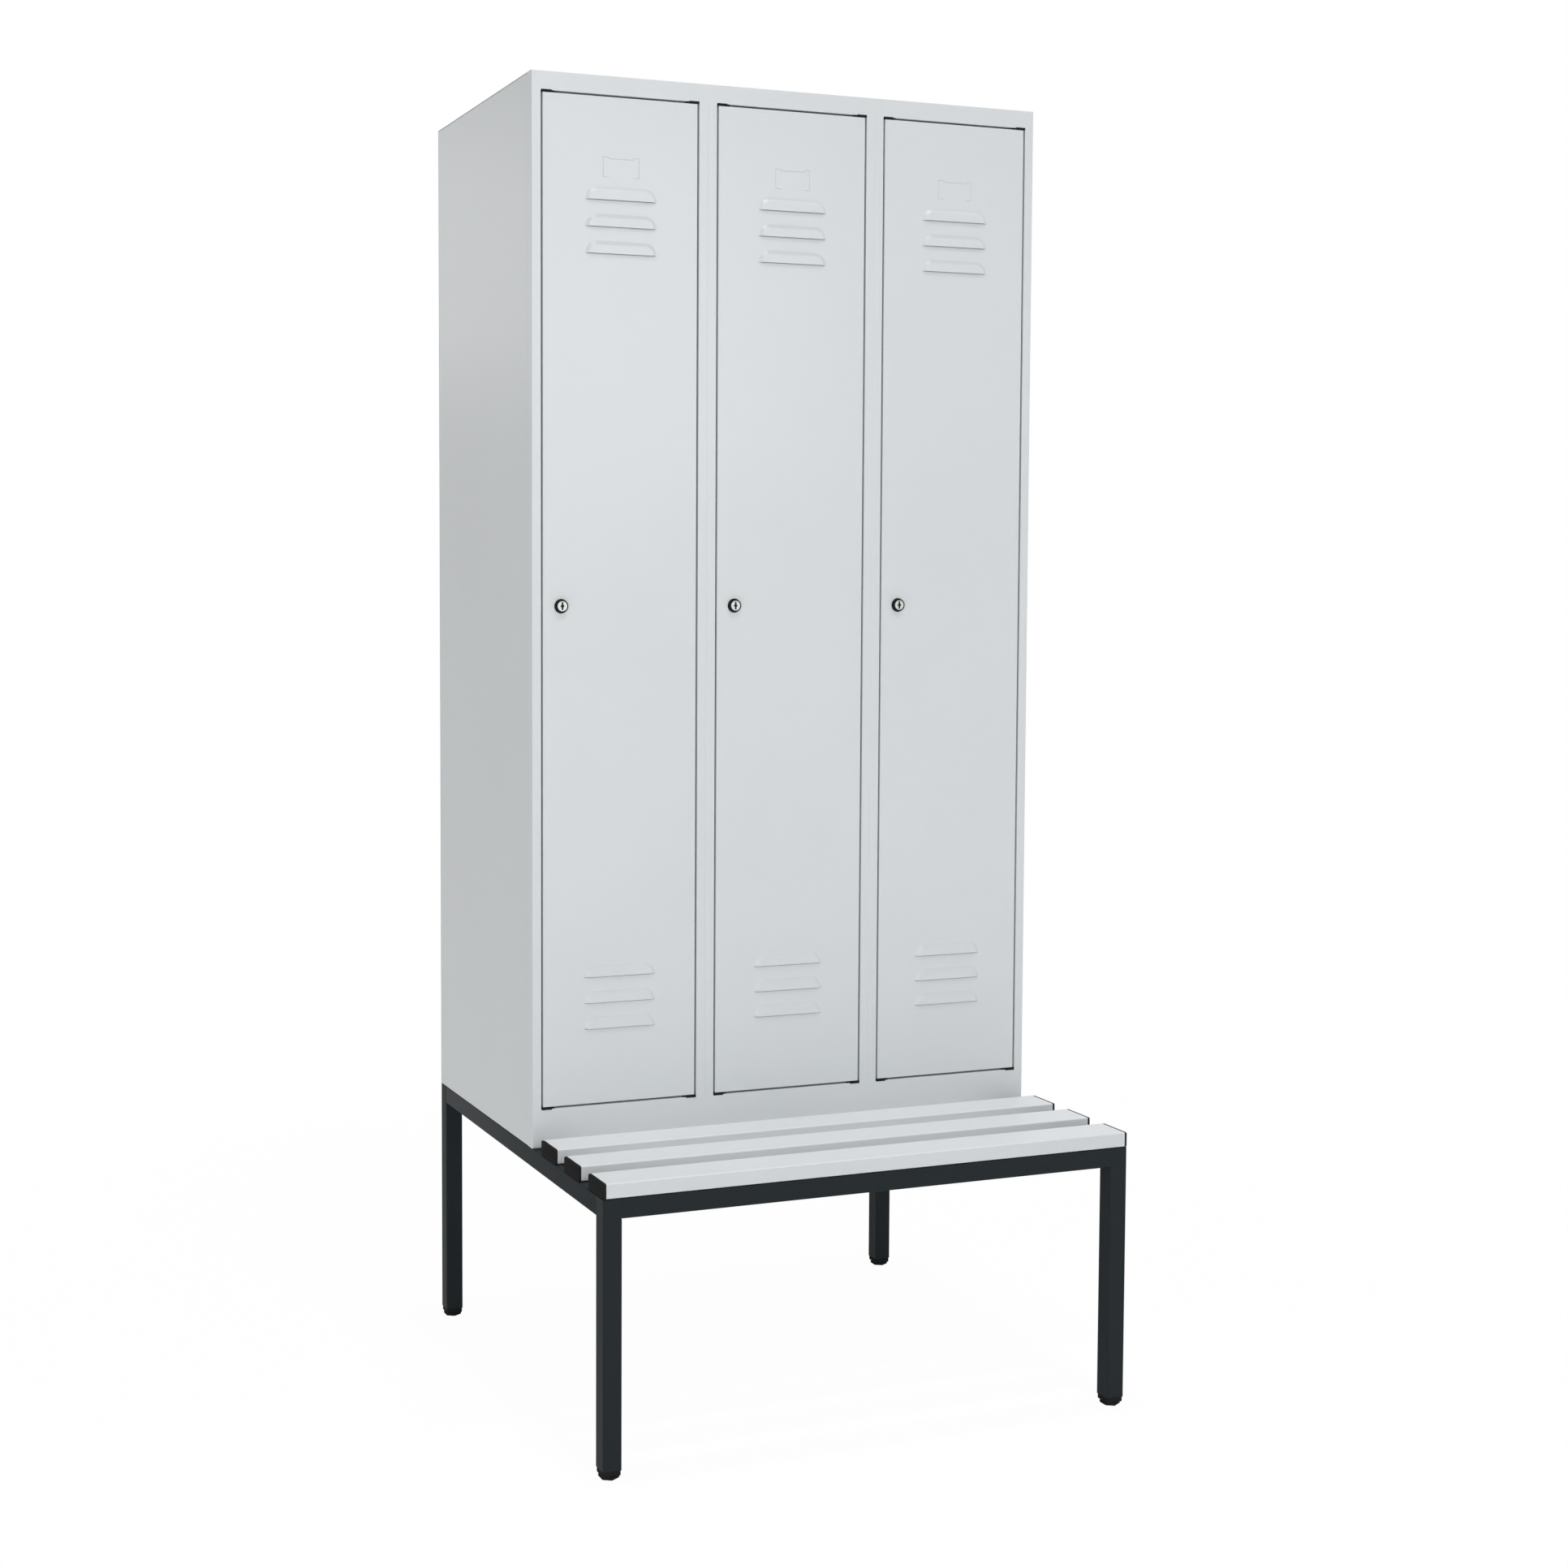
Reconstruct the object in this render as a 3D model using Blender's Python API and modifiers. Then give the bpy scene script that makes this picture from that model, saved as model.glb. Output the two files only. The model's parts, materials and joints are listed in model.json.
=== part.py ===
"""Three-door steel cloakroom locker on a square-tube base whose front carries a slatted bench.

Metres, +Z up. The origin is on the floor under the middle of the footprint, +X points to the right
as seen from the front, and the doors face -Y. Every piece is an object of its own. A piece that moves
hangs on an empty that stands on its joint's axis.
"""

import math

import bmesh
import bpy
from mathutils import Matrix, Vector

# Whole object
CABINET_WIDTH = 0.900
CABINET_DEPTH = 0.500
CABINET_HEIGHT = 1.700
BASE_HEIGHT = 0.422  # floor to the top of the tube frame
BENCH_REACH = 0.315  # how far the tube frame stands out in front of the cabinet
COMPARTMENTS = ("left", "middle", "right")

# Stock and clearances
SHEET = 0.0008
BEND_RADIUS = 0.0012  # outer radius of the sheet's folds
SEAT_GAP = 0.0003  # between two pieces where one rests on, or sits in, the other
WELD_OVERLAP = 0.0004  # how far welded shapes of one piece run into each other
THROUGH = 0.002  # how far a cutter runs past the wall that it cuts

# Tube base
TUBE = 0.030
TUBE_WALL = 0.002
TUBE_EDGE_RADIUS = 0.0028
INSERT_EDGE = 0.0007
INSERT_INSET = 0.0008  # the plastic insert's flange against the tube's outer face
INSERT_FLANGE_HEIGHT = 0.008
INSERT_PLUG_HEIGHT = 0.026
GLIDE_HEIGHT = 0.0051
GLIDE_ACROSS_FLATS = 0.0276
STEM_RADIUS = 0.004
STEM_LENGTH = 0.028

# Bench
SLAT_WIDTH = 0.065
SLAT_HEIGHT = 0.024
SLAT_PITCH = 0.105
SLAT_OVERHANG = 0.001  # front slat's face before the front legs
SLAT_WALL = 0.0025
SLAT_EDGE_RADIUS = 0.003
SLAT_FOOT_HEIGHT = 0.001
SLAT_FOOT_WIDTH = 0.006
SLAT_FOOT_INSET = 0.005
SLAT_END_INSET = 0.0005  # slat with its caps against the tube frame's width
CAP_THICKNESS = 0.004
CAP_PLUG_DEPTH = 0.012
CAP_EDGE = 0.0006

# Front frame
SIDE_STILE = 0.0155
MIDDLE_STILE = 0.031
TOP_RAIL = 0.0295
BOTTOM_RAIL = 0.0623
FRAME_WRAP = 0.021  # how far the frame folds back round the cabinet's outer edges
FRAME_RETURN = 0.021  # how deep the frame folds back into each door opening
SEAM_WIDTH = 0.0006
SEAM_DEPTH = 0.00035

# Carcass
PANEL_FLANGE = 0.015
TONGUE_DEPTH = 0.014  # lap of a panel's front edge inside the frame's wrap
LAP_DEPTH = 0.006  # where the lap is set in against the panel
FLOOR_RISE = 0.045  # compartment floor above the cabinet's underside
PARTITION_FLANGE = 0.012

# Inside of a compartment
SHELF_DROP = 0.320  # cabinet top to shelf top
SHELF_LIP = 0.020
SHELF_SETBACK = 0.032  # shelf's front edge behind the cabinet's front
COAT_RAIL_DROP = 0.062  # shelf top to the rail's centre line
COAT_RAIL_RADIUS = 0.009
COAT_RAIL_WALL = 0.0012
COAT_RAIL_ROSETTE_RADIUS = 0.016
COAT_RAIL_ROSETTE_THICKNESS = 0.002
HOOK_SLEEVE_WALL = 0.003
HOOK_SLEEVE_LENGTH = 0.014
HOOK_WIRE_RADIUS = 0.0025
HOOK_DROP = 0.040  # rail's centre line to the centre of the hook's bow
HOOK_BOW_RADIUS = 0.020
HOOK_TIP_RISE_DEG = 20.0

# Doors
DOOR_GAP = 0.003
DOOR_DEPTH = 0.018
DOOR_LIP = 0.010
PIVOT_INSET = 0.005  # hinge axis from the door's edge, and from its front face
PIN_RADIUS = 0.0022
PIN_TIP = 0.0006
PIN_LENGTH_IN_DOOR = 0.012
PIN_LENGTH_IN_FRAME = 0.006
BUSH_REACH = 0.0125  # flat bush in the door gap, from the hinge axis towards the door's middle
BUSH_SETBACK = 0.0004  # bush's front edge behind the door's face
STIFFENER_CROWN = 0.034
STIFFENER_FOOT = 0.012
STIFFENER_HEIGHT = 0.013
STIFFENER_END_GAP = 0.045  # stiffener's ends from the louvres

# Louvres, in two groups on each door
LOUVRES_PER_GROUP = 3
LOUVRE_WIDTH = 0.122
LOUVRE_HEIGHT = 0.020
LOUVRE_SLOPE = 0.0047  # width of the sloped band round the hood
LOUVRE_RISE = 0.0045
LOUVRE_ROUNDING = 0.0008  # how far the hood's edge is rounded down from its flat face
LOUVRE_PITCH = 0.042
LOUVRE_TOP_OFFSET = 0.1608  # door's top edge to the highest lip
LOUVRE_BOTTOM_OFFSET = 0.1219  # door's bottom edge to the lowest lip
LOUVRE_LIP_CUT = 0.0005

# Label holder, pressed into the door
LABEL_TOP_OFFSET = 0.0935
LABEL_WIDTH = 0.061
LABEL_HEIGHT = 0.0314
LABEL_CHANNEL = 0.0097
LABEL_RISE = 0.0009

# Lock
LOCK_INSET = 0.0305  # lock's axis from the door's free edge
COLLAR_BASE_RADIUS = 0.0115
COLLAR_FRONT_RADIUS = 0.0098
COLLAR_RISE = 0.0068
COLLAR_EDGE = 0.0006
COLLAR_BARREL_RADIUS = 0.0095
CYLINDER_RADIUS = 0.0082
CYLINDER_RECESS = 0.0004
NECK_RADIUS = 0.004
NECK_LENGTH = 0.0042
KEYWAY_WIDTH = 0.0019
KEYWAY_HEIGHT = 0.0118
KEYWAY_DEPTH = 0.008
KEYWAY_DIAMOND = 0.0029  # half width of the diamond in the keyway's middle
CAM_THICKNESS = 0.002
CAM_HUB_RADIUS = 0.009
CAM_TIP_RADIUS = 0.006
CAM_REACH = 0.034  # lock's axis to the centre of the cam's round tip

# Roundness of turned and curved shapes
TURN_STEPS = 32
ARC_STEPS = 6

# Places worked out from the sizes above
HALF_WIDTH = CABINET_WIDTH / 2
FRAME_FRONT_Y = -(CABINET_DEPTH + BENCH_REACH) / 2
FRONT_Y = FRAME_FRONT_Y + BENCH_REACH
BACK_Y = FRONT_Y + CABINET_DEPTH
CABINET_BOTTOM = BASE_HEIGHT + SEAT_GAP
CABINET_TOP = CABINET_BOTTOM + CABINET_HEIGHT
LEG_BOTTOM = GLIDE_HEIGHT + INSERT_FLANGE_HEIGHT + 2 * SEAT_GAP
OPENING_BOTTOM = CABINET_BOTTOM + BOTTOM_RAIL
OPENING_TOP = CABINET_TOP - TOP_RAIL
OPENING_WIDTH = (
    CABINET_WIDTH - 2 * SIDE_STILE - (len(COMPARTMENTS) - 1) * MIDDLE_STILE
) / len(COMPARTMENTS)
DOOR_WIDTH = OPENING_WIDTH - 2 * DOOR_GAP
DOOR_BOTTOM = OPENING_BOTTOM + DOOR_GAP
DOOR_TOP = OPENING_TOP - DOOR_GAP
LOCK_HEIGHT = (DOOR_BOTTOM + DOOR_TOP) / 2
PANEL_FRONT_Y = FRONT_Y + FRAME_WRAP + SEAT_GAP
PANEL_BACK_Y = BACK_Y - SHEET - SEAT_GAP  # rear face of the flanges that carry the back panel
INNER_BACK_Y = PANEL_BACK_Y - SHEET - SEAT_GAP
TOP_PLATE_UNDERSIDE = CABINET_TOP - SHEET
SHELF_TOP = CABINET_TOP - SHELF_DROP
COAT_RAIL_HEIGHT = SHELF_TOP - COAT_RAIL_DROP
COAT_RAIL_Y = (FRONT_Y + BACK_Y) / 2
FLOOR_TOP = CABINET_BOTTOM + FLOOR_RISE

# Directions
LEFT, RIGHT = Vector((-1, 0, 0)), Vector((1, 0, 0))
FRONT, BACK = Vector((0, -1, 0)), Vector((0, 1, 0))
DOWN, UP = Vector((0, 0, -1)), Vector((0, 0, 1))
ALONG_X = Matrix.Rotation(math.radians(90), 4, "Y")  # turns a +Z axis to +X
ALONG_Y = Matrix.Rotation(math.radians(-90), 4, "X")  # turns a +Z axis to +Y
ALONG_Z = Matrix.Identity(4)


def clear_scene():
    """Remove the startup objects and return the collection that takes the parts."""
    for obj in list(bpy.data.objects):
        bpy.data.objects.remove(obj)
    parts = bpy.data.collections.new("locker_with_bench")
    bpy.context.scene.collection.children.link(parts)
    return parts


PARTS = clear_scene()


def linear(channel):
    """Linear value of an 8-bit sRGB channel."""
    value = channel / 255
    return value / 12.92 if value <= 0.04045 else ((value + 0.055) / 1.055) ** 2.4


def material(name, srgb, roughness, metallic=0.0):
    """A Principled material in the given 8-bit sRGB colour."""
    made = bpy.data.materials.new(name)
    made.use_nodes = True
    shader = made.node_tree.nodes["Principled BSDF"]
    shader.inputs["Base Color"].default_value = (*(linear(c) for c in srgb), 1.0)
    shader.inputs["Roughness"].default_value = roughness
    shader.inputs["Metallic"].default_value = metallic
    return made


LIGHT_GREY_PAINT = material("light_grey_paint", (214, 217, 219), 0.45)
ANTHRACITE_PAINT = material("anthracite_paint", (44, 48, 51), 0.5)
SLAT_PLASTIC = material("slat_plastic", (216, 219, 221), 0.5)
BLACK_PLASTIC = material("black_plastic", (38, 38, 39), 0.5)
ZINC_STEEL = material("zinc_plated_steel", (168, 170, 172), 0.35, 1.0)
LOCK_METAL = material("lock_metal", (222, 222, 224), 0.3, 1.0)


def new_object(name, data, dressed_in=None):
    """Link an object for the given mesh or curve, with its material."""
    obj = bpy.data.objects.new(name, data)
    PARTS.objects.link(obj)
    if dressed_in:
        data.materials.append(dressed_in)
    return obj


def mesh_object(name, shape, dressed_in=None):
    """Turn a bmesh into an object of its own."""
    mesh = bpy.data.meshes.new(name)
    shape.to_mesh(mesh)
    shape.free()
    return new_object(name, mesh, dressed_in)


def apply_modifiers(obj):
    """Replace the object's data by its evaluated mesh in world space, at the origin."""
    bpy.context.view_layer.update()
    evaluated = obj.evaluated_get(bpy.context.evaluated_depsgraph_get())
    mesh = bpy.data.meshes.new_from_object(evaluated)
    mesh.transform(obj.matrix_world)
    made = bpy.data.objects.new(obj.name + "_applied", mesh)
    PARTS.objects.link(made)
    name = obj.name
    bpy.data.objects.remove(obj)
    made.name = name
    return made


def combine(target, tool, operation):
    """Join the tool to the target, or cut it out, and return the new target."""
    modifier = target.modifiers.new(operation.lower(), "BOOLEAN")
    modifier.operation = operation
    modifier.object = tool
    made = apply_modifiers(target)
    bpy.data.objects.remove(tool)
    return made


def welded(target, tool):
    """The target with the tool joined to it."""
    return combine(target, tool, "UNION")


def cut(target, tool):
    """The target with the tool cut out of it."""
    return combine(target, tool, "DIFFERENCE")


def add_box(shape, low, high):
    """Add a box between two corners to a bmesh."""
    low, high = Vector(low), Vector(high)
    size = high - low
    place = Matrix.Translation((low + high) / 2) @ Matrix.Diagonal((*size, 1))
    bmesh.ops.create_cube(shape, size=1, matrix=place)


def boxes(name, corners, dressed_in=None):
    """One object of several boxes that don't touch, each given by its two corners."""
    shape = bmesh.new()
    for low, high in corners:
        add_box(shape, low, high)
    return mesh_object(name, shape, dressed_in)


def add_cylinder(shape, centre, turn, radius, length, segments=TURN_STEPS):
    """Add a cylinder about centre to a bmesh. Its axis is +Z before the turn."""
    bmesh.ops.create_cone(
        shape,
        cap_ends=True,
        segments=segments,
        radius1=radius,
        radius2=radius,
        depth=length,
        matrix=Matrix.Translation(centre) @ turn,
    )


def folded_box(name, low, high, open_sides, dressed_in, lip=0.0):
    """A box bent from sheet, open at some sides, with a lip turned in round each open side."""
    shape = bmesh.new()
    add_box(shape, low, high)
    shape.normal_update()
    opened = [max(shape.faces, key=lambda face: face.normal.dot(side)) for side in open_sides]
    if lip:
        bmesh.ops.inset_region(shape, faces=opened, thickness=lip)
    bmesh.ops.delete(shape, geom=opened, context="FACES")
    folds = [edge for edge in shape.edges if edge.is_manifold and edge.calc_face_angle() > 0.1]
    bmesh.ops.bevel(
        shape,
        geom=folds,
        offset=BEND_RADIUS,
        offset_type="OFFSET",
        segments=2,
        profile=0.5,
        affect="EDGES",
    )
    obj = mesh_object(name, shape, dressed_in)
    solidify = obj.modifiers.new("sheet", "SOLIDIFY")
    solidify.thickness = SHEET
    solidify.offset = -1
    solidify.use_even_offset = True
    return apply_modifiers(obj)


def turned(name, profile, centre, turn, dressed_in, ring=False):
    """A profile of (radius, height) points revolved about +Z, then turned and put at centre."""
    count = len(profile)
    edges = [(i, i + 1) for i in range(count - 1)]
    if ring:
        edges.append((count - 1, 0))
    mesh = bpy.data.meshes.new(name)
    mesh.from_pydata([(radius, 0, height) for radius, height in profile], edges, [])
    obj = new_object(name, mesh, dressed_in)
    screw = obj.modifiers.new("turn", "SCREW")
    screw.steps = TURN_STEPS
    screw.render_steps = TURN_STEPS
    screw.use_merge_vertices = True
    screw.merge_threshold = 0.00001
    obj.matrix_world = Matrix.Translation(centre) @ turn
    return apply_modifiers(obj)


def from_curve(obj, place):
    """Make a curve object a closed mesh, and move it by the given matrix."""
    obj.matrix_world = place
    made = apply_modifiers(obj)
    shape = bmesh.new()
    shape.from_mesh(made.data)
    bmesh.ops.remove_doubles(shape, verts=shape.verts, dist=0.000001)
    bmesh.ops.recalc_face_normals(shape, faces=shape.faces)
    shape.to_mesh(made.data)
    shape.free()
    return made


def outline_plate(name, outlines, thickness, place, dressed_in, edge=0.0):
    """A flat plate of the first outline with the others as holes, thickness centred on the plane.

    An edge size breaks the plate's rims, and is for a plate with no holes.
    """
    curve = bpy.data.curves.new(name, "CURVE")
    curve.dimensions = "2D"
    curve.fill_mode = "BOTH"
    curve.extrude = thickness / 2 - edge
    curve.bevel_depth = edge
    curve.bevel_resolution = 1
    curve.offset = -edge
    for points in outlines:
        spline = curve.splines.new("POLY")
        spline.points.add(len(points) - 1)
        for point, (x, y) in zip(spline.points, points):
            point.co = (x, y, 0, 1)
        spline.use_cyclic_u = True
    return from_curve(new_object(name, curve, dressed_in), place)


def wire(name, points, radius, dressed_in):
    """A round wire through the given points, with flat ends."""
    curve = bpy.data.curves.new(name, "CURVE")
    curve.dimensions = "3D"
    curve.bevel_depth = radius
    curve.bevel_resolution = 2
    curve.use_fill_caps = True
    spline = curve.splines.new("POLY")
    spline.points.add(len(points) - 1)
    for point, place in zip(spline.points, points):
        point.co = (*place, 1)
    return from_curve(new_object(name, curve, dressed_in), Matrix.Identity(4))


def arc(centre, radius, first_deg, last_deg, steps=ARC_STEPS):
    """Points of an arc in a plane, counted anticlockwise from its first coordinate's axis."""
    angles = [first_deg + (last_deg - first_deg) * i / steps for i in range(steps + 1)]
    return [
        (
            centre[0] + radius * math.cos(math.radians(angle)),
            centre[1] + radius * math.sin(math.radians(angle)),
        )
        for angle in angles
    ]


def rounded_rectangle(low, high, radius):
    """Outline of a rectangle with round corners, anticlockwise from its lower right corner."""
    (left, bottom), (right, top) = low, high
    centres = (
        (right - radius, bottom + radius),
        (right - radius, top - radius),
        (left + radius, top - radius),
        (left + radius, bottom + radius),
    )
    points = []
    for turn, centre in enumerate(centres):
        points += arc(centre, radius, 90 * turn - 90, 90 * turn, steps=4)
    return points


def rectangle(low, high):
    """Outline of a rectangle."""
    return [low, (high[0], low[1]), high, (low[0], high[1])]


def square_tube(name, length, place):
    """A square tube with round edges and open ends, its length centred along the place's Z axis."""
    half = TUBE / 2
    bore = half - TUBE_WALL
    outer = rounded_rectangle((-half, -half), (half, half), TUBE_EDGE_RADIUS)
    inner = rounded_rectangle((-bore, -bore), (bore, bore), TUBE_EDGE_RADIUS - TUBE_WALL)
    return outline_plate(name, [outer, inner], length, place, ANTHRACITE_PAINT)


def shade_round(obj):
    """Shade round faces smooth and keep sharp edges."""
    obj.data.shade_smooth()
    obj.data.set_sharp_from_angle(angle=math.radians(35))


def settle(obj, origin, parent=None):
    """Move the object's origin to a point without moving its shape, and hang it on its parent."""
    origin = Vector(origin)
    obj.data.transform(Matrix.Translation(-origin))
    shade_round(obj)
    obj.parent = parent
    obj.location = origin - (parent.location if parent else Vector())
    return obj


def pivot(name, place):
    """An empty on a joint's axis."""
    empty = bpy.data.objects.new(name, None)
    empty.empty_display_size = 0.05
    empty.location = place
    PARTS.objects.link(empty)
    return empty


def copy_of(obj, name, place, parent=None):
    """Another object with the same mesh, at its own place."""
    made = bpy.data.objects.new(name, obj.data)
    made.parent = parent
    made.location = Vector(place) - (parent.location if parent else Vector())
    PARTS.objects.link(made)
    return made


def opening_left(index):
    """Left edge of a compartment's door opening."""
    return -HALF_WIDTH + SIDE_STILE + index * (OPENING_WIDTH + MIDDLE_STILE)


def partition_middle(index):
    """Middle of the partition to the right of a compartment."""
    return opening_left(index) + OPENING_WIDTH + MIDDLE_STILE / 2


def compartment_walls(index):
    """Inner faces of a compartment's left and right wall."""
    left = -HALF_WIDTH + SHEET
    right = HALF_WIDTH - SHEET
    if index > 0:
        left = partition_middle(index - 1) + SHEET / 2
    if index < len(COMPARTMENTS) - 1:
        right = partition_middle(index) - SHEET / 2
    return left, right


def build_leg(place_name, x, y):
    """One leg: the tube, the plastic insert in its foot and the screw glide in the insert."""
    middle_z = (LEG_BOTTOM + BASE_HEIGHT) / 2
    leg = square_tube("leg_" + place_name, BASE_HEIGHT - LEG_BOTTOM, Matrix.Translation((x, y, middle_z)))
    settle(leg, (x, y, LEG_BOTTOM))

    flange_bottom = GLIDE_HEIGHT + SEAT_GAP
    flange_top = flange_bottom + INSERT_FLANGE_HEIGHT
    flange_half = TUBE / 2 - INSERT_INSET
    plug_half = TUBE / 2 - TUBE_WALL - SEAT_GAP
    corner = TUBE_EDGE_RADIUS - INSERT_INSET
    insert = outline_plate(
        "leg_insert_" + place_name,
        [rounded_rectangle((-flange_half, -flange_half), (flange_half, flange_half), corner)],
        INSERT_FLANGE_HEIGHT,
        Matrix.Translation((x, y, (flange_bottom + flange_top) / 2)),
        BLACK_PLASTIC,
        edge=INSERT_EDGE,
    )
    plug = boxes(
        "plug",
        [
            (
                (x - plug_half, y - plug_half, flange_top - WELD_OVERLAP),
                (x + plug_half, y + plug_half, flange_top + INSERT_PLUG_HEIGHT),
            )
        ],
    )
    insert = welded(insert, plug)
    bore_length = INSERT_FLANGE_HEIGHT + INSERT_PLUG_HEIGHT + 2 * THROUGH
    bore = bmesh.new()
    bore_middle = (x, y, flange_bottom - THROUGH + bore_length / 2)
    add_cylinder(bore, bore_middle, ALONG_Z, STEM_RADIUS + SEAT_GAP, bore_length)
    insert = cut(insert, mesh_object("bore", bore))
    settle(insert, (x, y, flange_bottom))

    hexagon = bmesh.new()
    across_corners = GLIDE_ACROSS_FLATS / math.cos(math.radians(30))
    add_cylinder(hexagon, (x, y, GLIDE_HEIGHT / 2), ALONG_Z, across_corners / 2, GLIDE_HEIGHT, segments=6)
    glide = mesh_object("levelling_glide_" + place_name, hexagon, BLACK_PLASTIC)
    stem = bmesh.new()
    stem_bottom = GLIDE_HEIGHT - WELD_OVERLAP
    add_cylinder(stem, (x, y, stem_bottom + STEM_LENGTH / 2), ALONG_Z, STEM_RADIUS, STEM_LENGTH)
    glide = welded(glide, mesh_object("stem", stem))
    settle(glide, (x, y, 0), pivot("glide_screw_" + place_name, (x, y, 0)))


def build_base():
    """The welded tube frame: four legs and the rails between them."""
    leg_x = HALF_WIDTH - TUBE / 2
    leg_y = -FRAME_FRONT_Y - TUBE / 2
    for depth_name, y in (("front", -leg_y), ("rear", leg_y)):
        for side_name, x in (("left", -leg_x), ("right", leg_x)):
            build_leg(depth_name + "_" + side_name, x, y)

    rail_z = BASE_HEIGHT - TUBE / 2
    length_x = 2 * (HALF_WIDTH - TUBE - SEAT_GAP)
    length_y = 2 * (-FRAME_FRONT_Y - TUBE - SEAT_GAP)
    for name, y in (("front_rail", -leg_y), ("rear_rail", leg_y)):
        rail = square_tube(name, length_x, Matrix.Translation((0, y, rail_z)) @ ALONG_X)
        settle(rail, (0, y, rail_z))
    for name, x in (("side_rail_left", -leg_x), ("side_rail_right", leg_x)):
        rail = square_tube(name, length_y, Matrix.Translation((x, 0, rail_z)) @ ALONG_Y)
        settle(rail, (x, 0, rail_z))


def slat_outline():
    """Outer outline of a slat across its length, with two low feet. The first coordinate is depth."""
    half = SLAT_WIDTH / 2
    body = rounded_rectangle((-half, SLAT_FOOT_HEIGHT), (half, SLAT_HEIGHT), SLAT_EDGE_RADIUS)
    feet = []
    outer = half - SLAT_FOOT_INSET
    inner = outer - SLAT_FOOT_WIDTH
    for first, last in ((-outer, -inner), (inner, outer)):
        feet += [(first, SLAT_FOOT_HEIGHT), (first, 0), (last, 0), (last, SLAT_FOOT_HEIGHT)]
    return body + feet


def slat_chambers(clearance=0.0):
    """The slat's two hollow chambers, as pairs of corners, made smaller by a clearance."""
    half = SLAT_WIDTH / 2
    bottom = SLAT_FOOT_HEIGHT + SLAT_WALL + clearance
    top = SLAT_HEIGHT - SLAT_WALL - clearance
    near = SLAT_WALL / 2 + clearance
    far = half - SLAT_WALL - clearance
    return [((-far, bottom), (-near, top)), ((near, bottom), (far, top))]


def build_bench():
    """Three hollow slats across the side rails, each with a cap plugged into either end."""
    rest = BASE_HEIGHT + SEAT_GAP
    end_x = HALF_WIDTH - SLAT_END_INSET
    body_end_x = end_x - CAP_THICKNESS - SEAT_GAP
    across = Matrix.Rotation(math.radians(90), 4, "Z") @ Matrix.Rotation(math.radians(90), 4, "X")
    chambers = [rectangle(low, high) for low, high in slat_chambers()]
    half = SLAT_WIDTH / 2
    cap_outline = rounded_rectangle((-half, 0), (half, SLAT_HEIGHT), SLAT_EDGE_RADIUS)
    first_y = FRAME_FRONT_Y - SLAT_OVERHANG + half
    for index, row in enumerate(("front", "middle", "rear")):
        y = first_y + index * SLAT_PITCH
        slat = outline_plate(
            "slat_" + row,
            [slat_outline(), *chambers],
            2 * body_end_x,
            Matrix.Translation((0, y, rest)) @ across,
            SLAT_PLASTIC,
        )
        settle(slat, (0, y, rest))
        for side_name, side in (("left", -1), ("right", 1)):
            middle_x = side * (end_x - CAP_THICKNESS / 2)
            cap = outline_plate(
                f"slat_cap_{row}_{side_name}",
                [cap_outline],
                CAP_THICKNESS,
                Matrix.Translation((middle_x, y, rest)) @ across,
                BLACK_PLASTIC,
                edge=CAP_EDGE,
            )
            plate_inner = side * (end_x - CAP_THICKNESS + WELD_OVERLAP)
            plug_end = side * (end_x - CAP_THICKNESS - CAP_PLUG_DEPTH)
            low_x, high_x = sorted((plate_inner, plug_end))
            plugs = [
                ((low_x, y + low[0], rest + low[1]), (high_x, y + high[0], rest + high[1]))
                for low, high in slat_chambers(SEAT_GAP)
            ]
            cap = welded(cap, boxes("plugs", plugs))
            settle(cap, (middle_x, y, rest))


def build_front_frame():
    """The folded front frame: a shallow tray with a folded return round each door opening."""
    frame = folded_box(
        "front_frame",
        (-HALF_WIDTH, FRONT_Y, CABINET_BOTTOM),
        (HALF_WIDTH, FRONT_Y + FRAME_WRAP, CABINET_TOP),
        [BACK],
        LIGHT_GREY_PAINT,
    )
    returns = []
    holes = []
    for index in range(len(COMPARTMENTS)):
        left = opening_left(index)
        right = left + OPENING_WIDTH
        returns.append(
            (
                (left - SHEET, FRONT_Y + WELD_OVERLAP, OPENING_BOTTOM - SHEET),
                (right + SHEET, FRONT_Y + FRAME_RETURN, OPENING_TOP + SHEET),
            )
        )
        holes.append(
            (
                (left, FRONT_Y - THROUGH, OPENING_BOTTOM),
                (right, FRONT_Y + FRAME_RETURN + THROUGH, OPENING_TOP),
            )
        )
    frame = welded(frame, boxes("returns", returns))
    frame = cut(frame, boxes("openings", holes))

    seams = []
    for index in range(len(COMPARTMENTS) - 1):
        middle = partition_middle(index)
        seams.append(
            (
                (middle - SEAM_WIDTH / 2, FRONT_Y - THROUGH, OPENING_BOTTOM),
                (middle + SEAM_WIDTH / 2, FRONT_Y + SEAM_DEPTH, OPENING_TOP),
            )
        )
    frame = cut(frame, boxes("seams", seams))

    pin_holes = bmesh.new()
    for index in range(len(COMPARTMENTS)):
        for z in (OPENING_BOTTOM, OPENING_TOP):
            centre = hinge_point(index, z)
            add_cylinder(pin_holes, centre, ALONG_Z, PIN_RADIUS + SEAT_GAP, 2 * (SHEET + THROUGH))
    frame = cut(frame, mesh_object("pin_holes", pin_holes))
    settle(frame, (0, FRONT_Y, CABINET_BOTTOM))


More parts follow.
